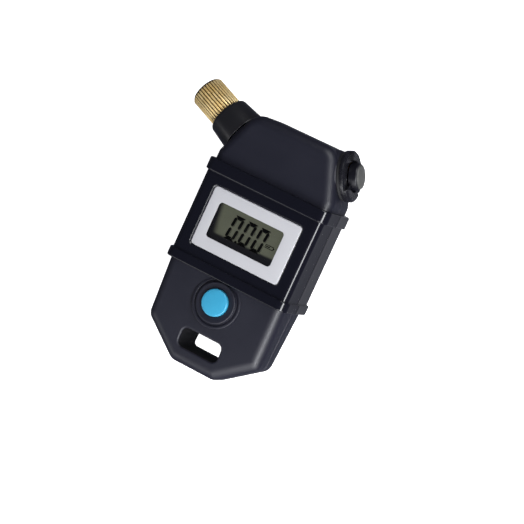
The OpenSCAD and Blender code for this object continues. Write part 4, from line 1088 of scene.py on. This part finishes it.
one_way = floor_finish.add("ShaderNodeMixShader", {}, {0: outer_side, 1: white, 2: clear})
floor_finish.links.new(one_way.link, floor_finish.nodes["Material Output"].inputs["Surface"])
floor_mesh.materials.append(floor_finish.material)
floor.location.z = -sweep_drop
floor.visible_glossy = False
floor.visible_diffuse = False
floor.visible_shadow = False
print("floor at", floor.location.z, "with faces:", len(floor_mesh.polygons))

# %% [markdown]
# Soft panels light the gauge. A long one at its right draws the bright line on the belt's edge
# and lights the right side. One before its lower end and one behind its head bring out the
# rounded edges there, a weak one at the left keeps the neck and the chuck readable, and one
# under the floor lights the back. The room is dim, so that the black front stays black, and a
# little lighter straight below.

# %% Lights
LIGHT_HEIGHT = 13.0


def set_at(made, across, along, back, place):
    """Turns an object so that its axes lie along three ways, and stands it at a place."""
    made.matrix_world = Matrix.Translation(place) @ Matrix((across, along, back)).transposed().to_4x4()


def panel(name, way, distance, size, power, tint=(1, 1, 1)):
    """Area light that stands in a direction from the display and faces it; its long side
    lies along the body."""
    light = bpy.data.lights.new(name, "AREA")
    light.shape = "RECTANGLE"
    light.size, light.size_y = size
    light.energy = power
    light.color = tint
    made = shown(name, light)
    made.visible_camera = False
    middle = Vector(in_frame((0, 0, LIGHT_HEIGHT)))
    back = Vector(way).normalized()
    along = (Vector((0, 1, 0)) - back * back.y).normalized()
    set_at(made, along.cross(back), along, back, middle + back * distance)
    return made


cool = (0.97, 0.98, 1)
panel("right_panel", (0.77, -0.17, 0.6), 0.5, (0.13, 0.6), 3.8, cool)
panel("lower_panel", (0.5, -0.75, 0.4), 0.3, (0.36, 0.28), 1.0, cool)
panel("head_panel", (0.35, 0.8, 0.42), 0.5, (0.35, 0.2), 1.15, cool)
panel("left_panel", (-0.5, -0.75, 0.43), 0.6, (0.3, 0.4), 0.7)
under_panel = panel("under_panel", (0.2, -0.3, -0.9), 0.5, (0.4, 0.4), 5.0)
under_panel.visible_glossy = False

# %% Room
below, above = (0.32, 0.325, 0.36), (0.085, 0.088, 0.12)
fall_low, fall_high = -0.95, -0.915
world = bpy.data.worlds.new("dim_room")
room = Graph(world)
way = room.add("ShaderNodeTexCoord", {}, {}, "Generated")
height = room.add("ShaderNodeSeparateXYZ", {}, {0: way}, "Z")
tone = room.blend(room.slope(height, fall_low, fall_high, "LINEAR"), below, above)
room.links.new(tone.link, room.nodes["Background"].inputs["Color"])
bpy.context.scene.world = world
bpy.context.scene.view_settings.view_transform = "Standard"
print("room:", world.name, "with nodes:", len(room.nodes))

# %% [markdown]
# ## Camera
# The camera looks down on the gauge from its upper right, rolled so that the body leans to the
# right, from about 65 cm away through a long lens.

# %% Camera
aim_height, roll = 24.7, math.radians(-26.683)
back = Vector((0.337, 0.098, 0))
back.z = math.sqrt(1 - back.length_squared)
side = (Vector((1, 0, 0)) - back * back.x).normalized()
upright = back.cross(side)
right = side * math.cos(roll) - upright * math.sin(roll)
up = side * math.sin(roll) + upright * math.cos(roll)
away, pixels_per_metre, picture, sensor = 0.6498, 2925.0, 524, 36.0
aim, aim_across, aim_down = Vector(in_frame((0, 0, aim_height))), 245.4, 234.9
offset = right * (picture / 2 - aim_across) - up * (picture / 2 - aim_down)
eye = aim + offset / pixels_per_metre + back * away
lens = bpy.data.cameras.new("view_camera")
lens.sensor_width = sensor
lens.lens = sensor * pixels_per_metre * away / picture
camera = shown("view_camera", lens)
set_at(camera, right, up, back, eye)
bpy.context.scene.camera = camera
print("lens", round(lens.lens, 1), "mm, eye", [round(v, 3) for v in eye])
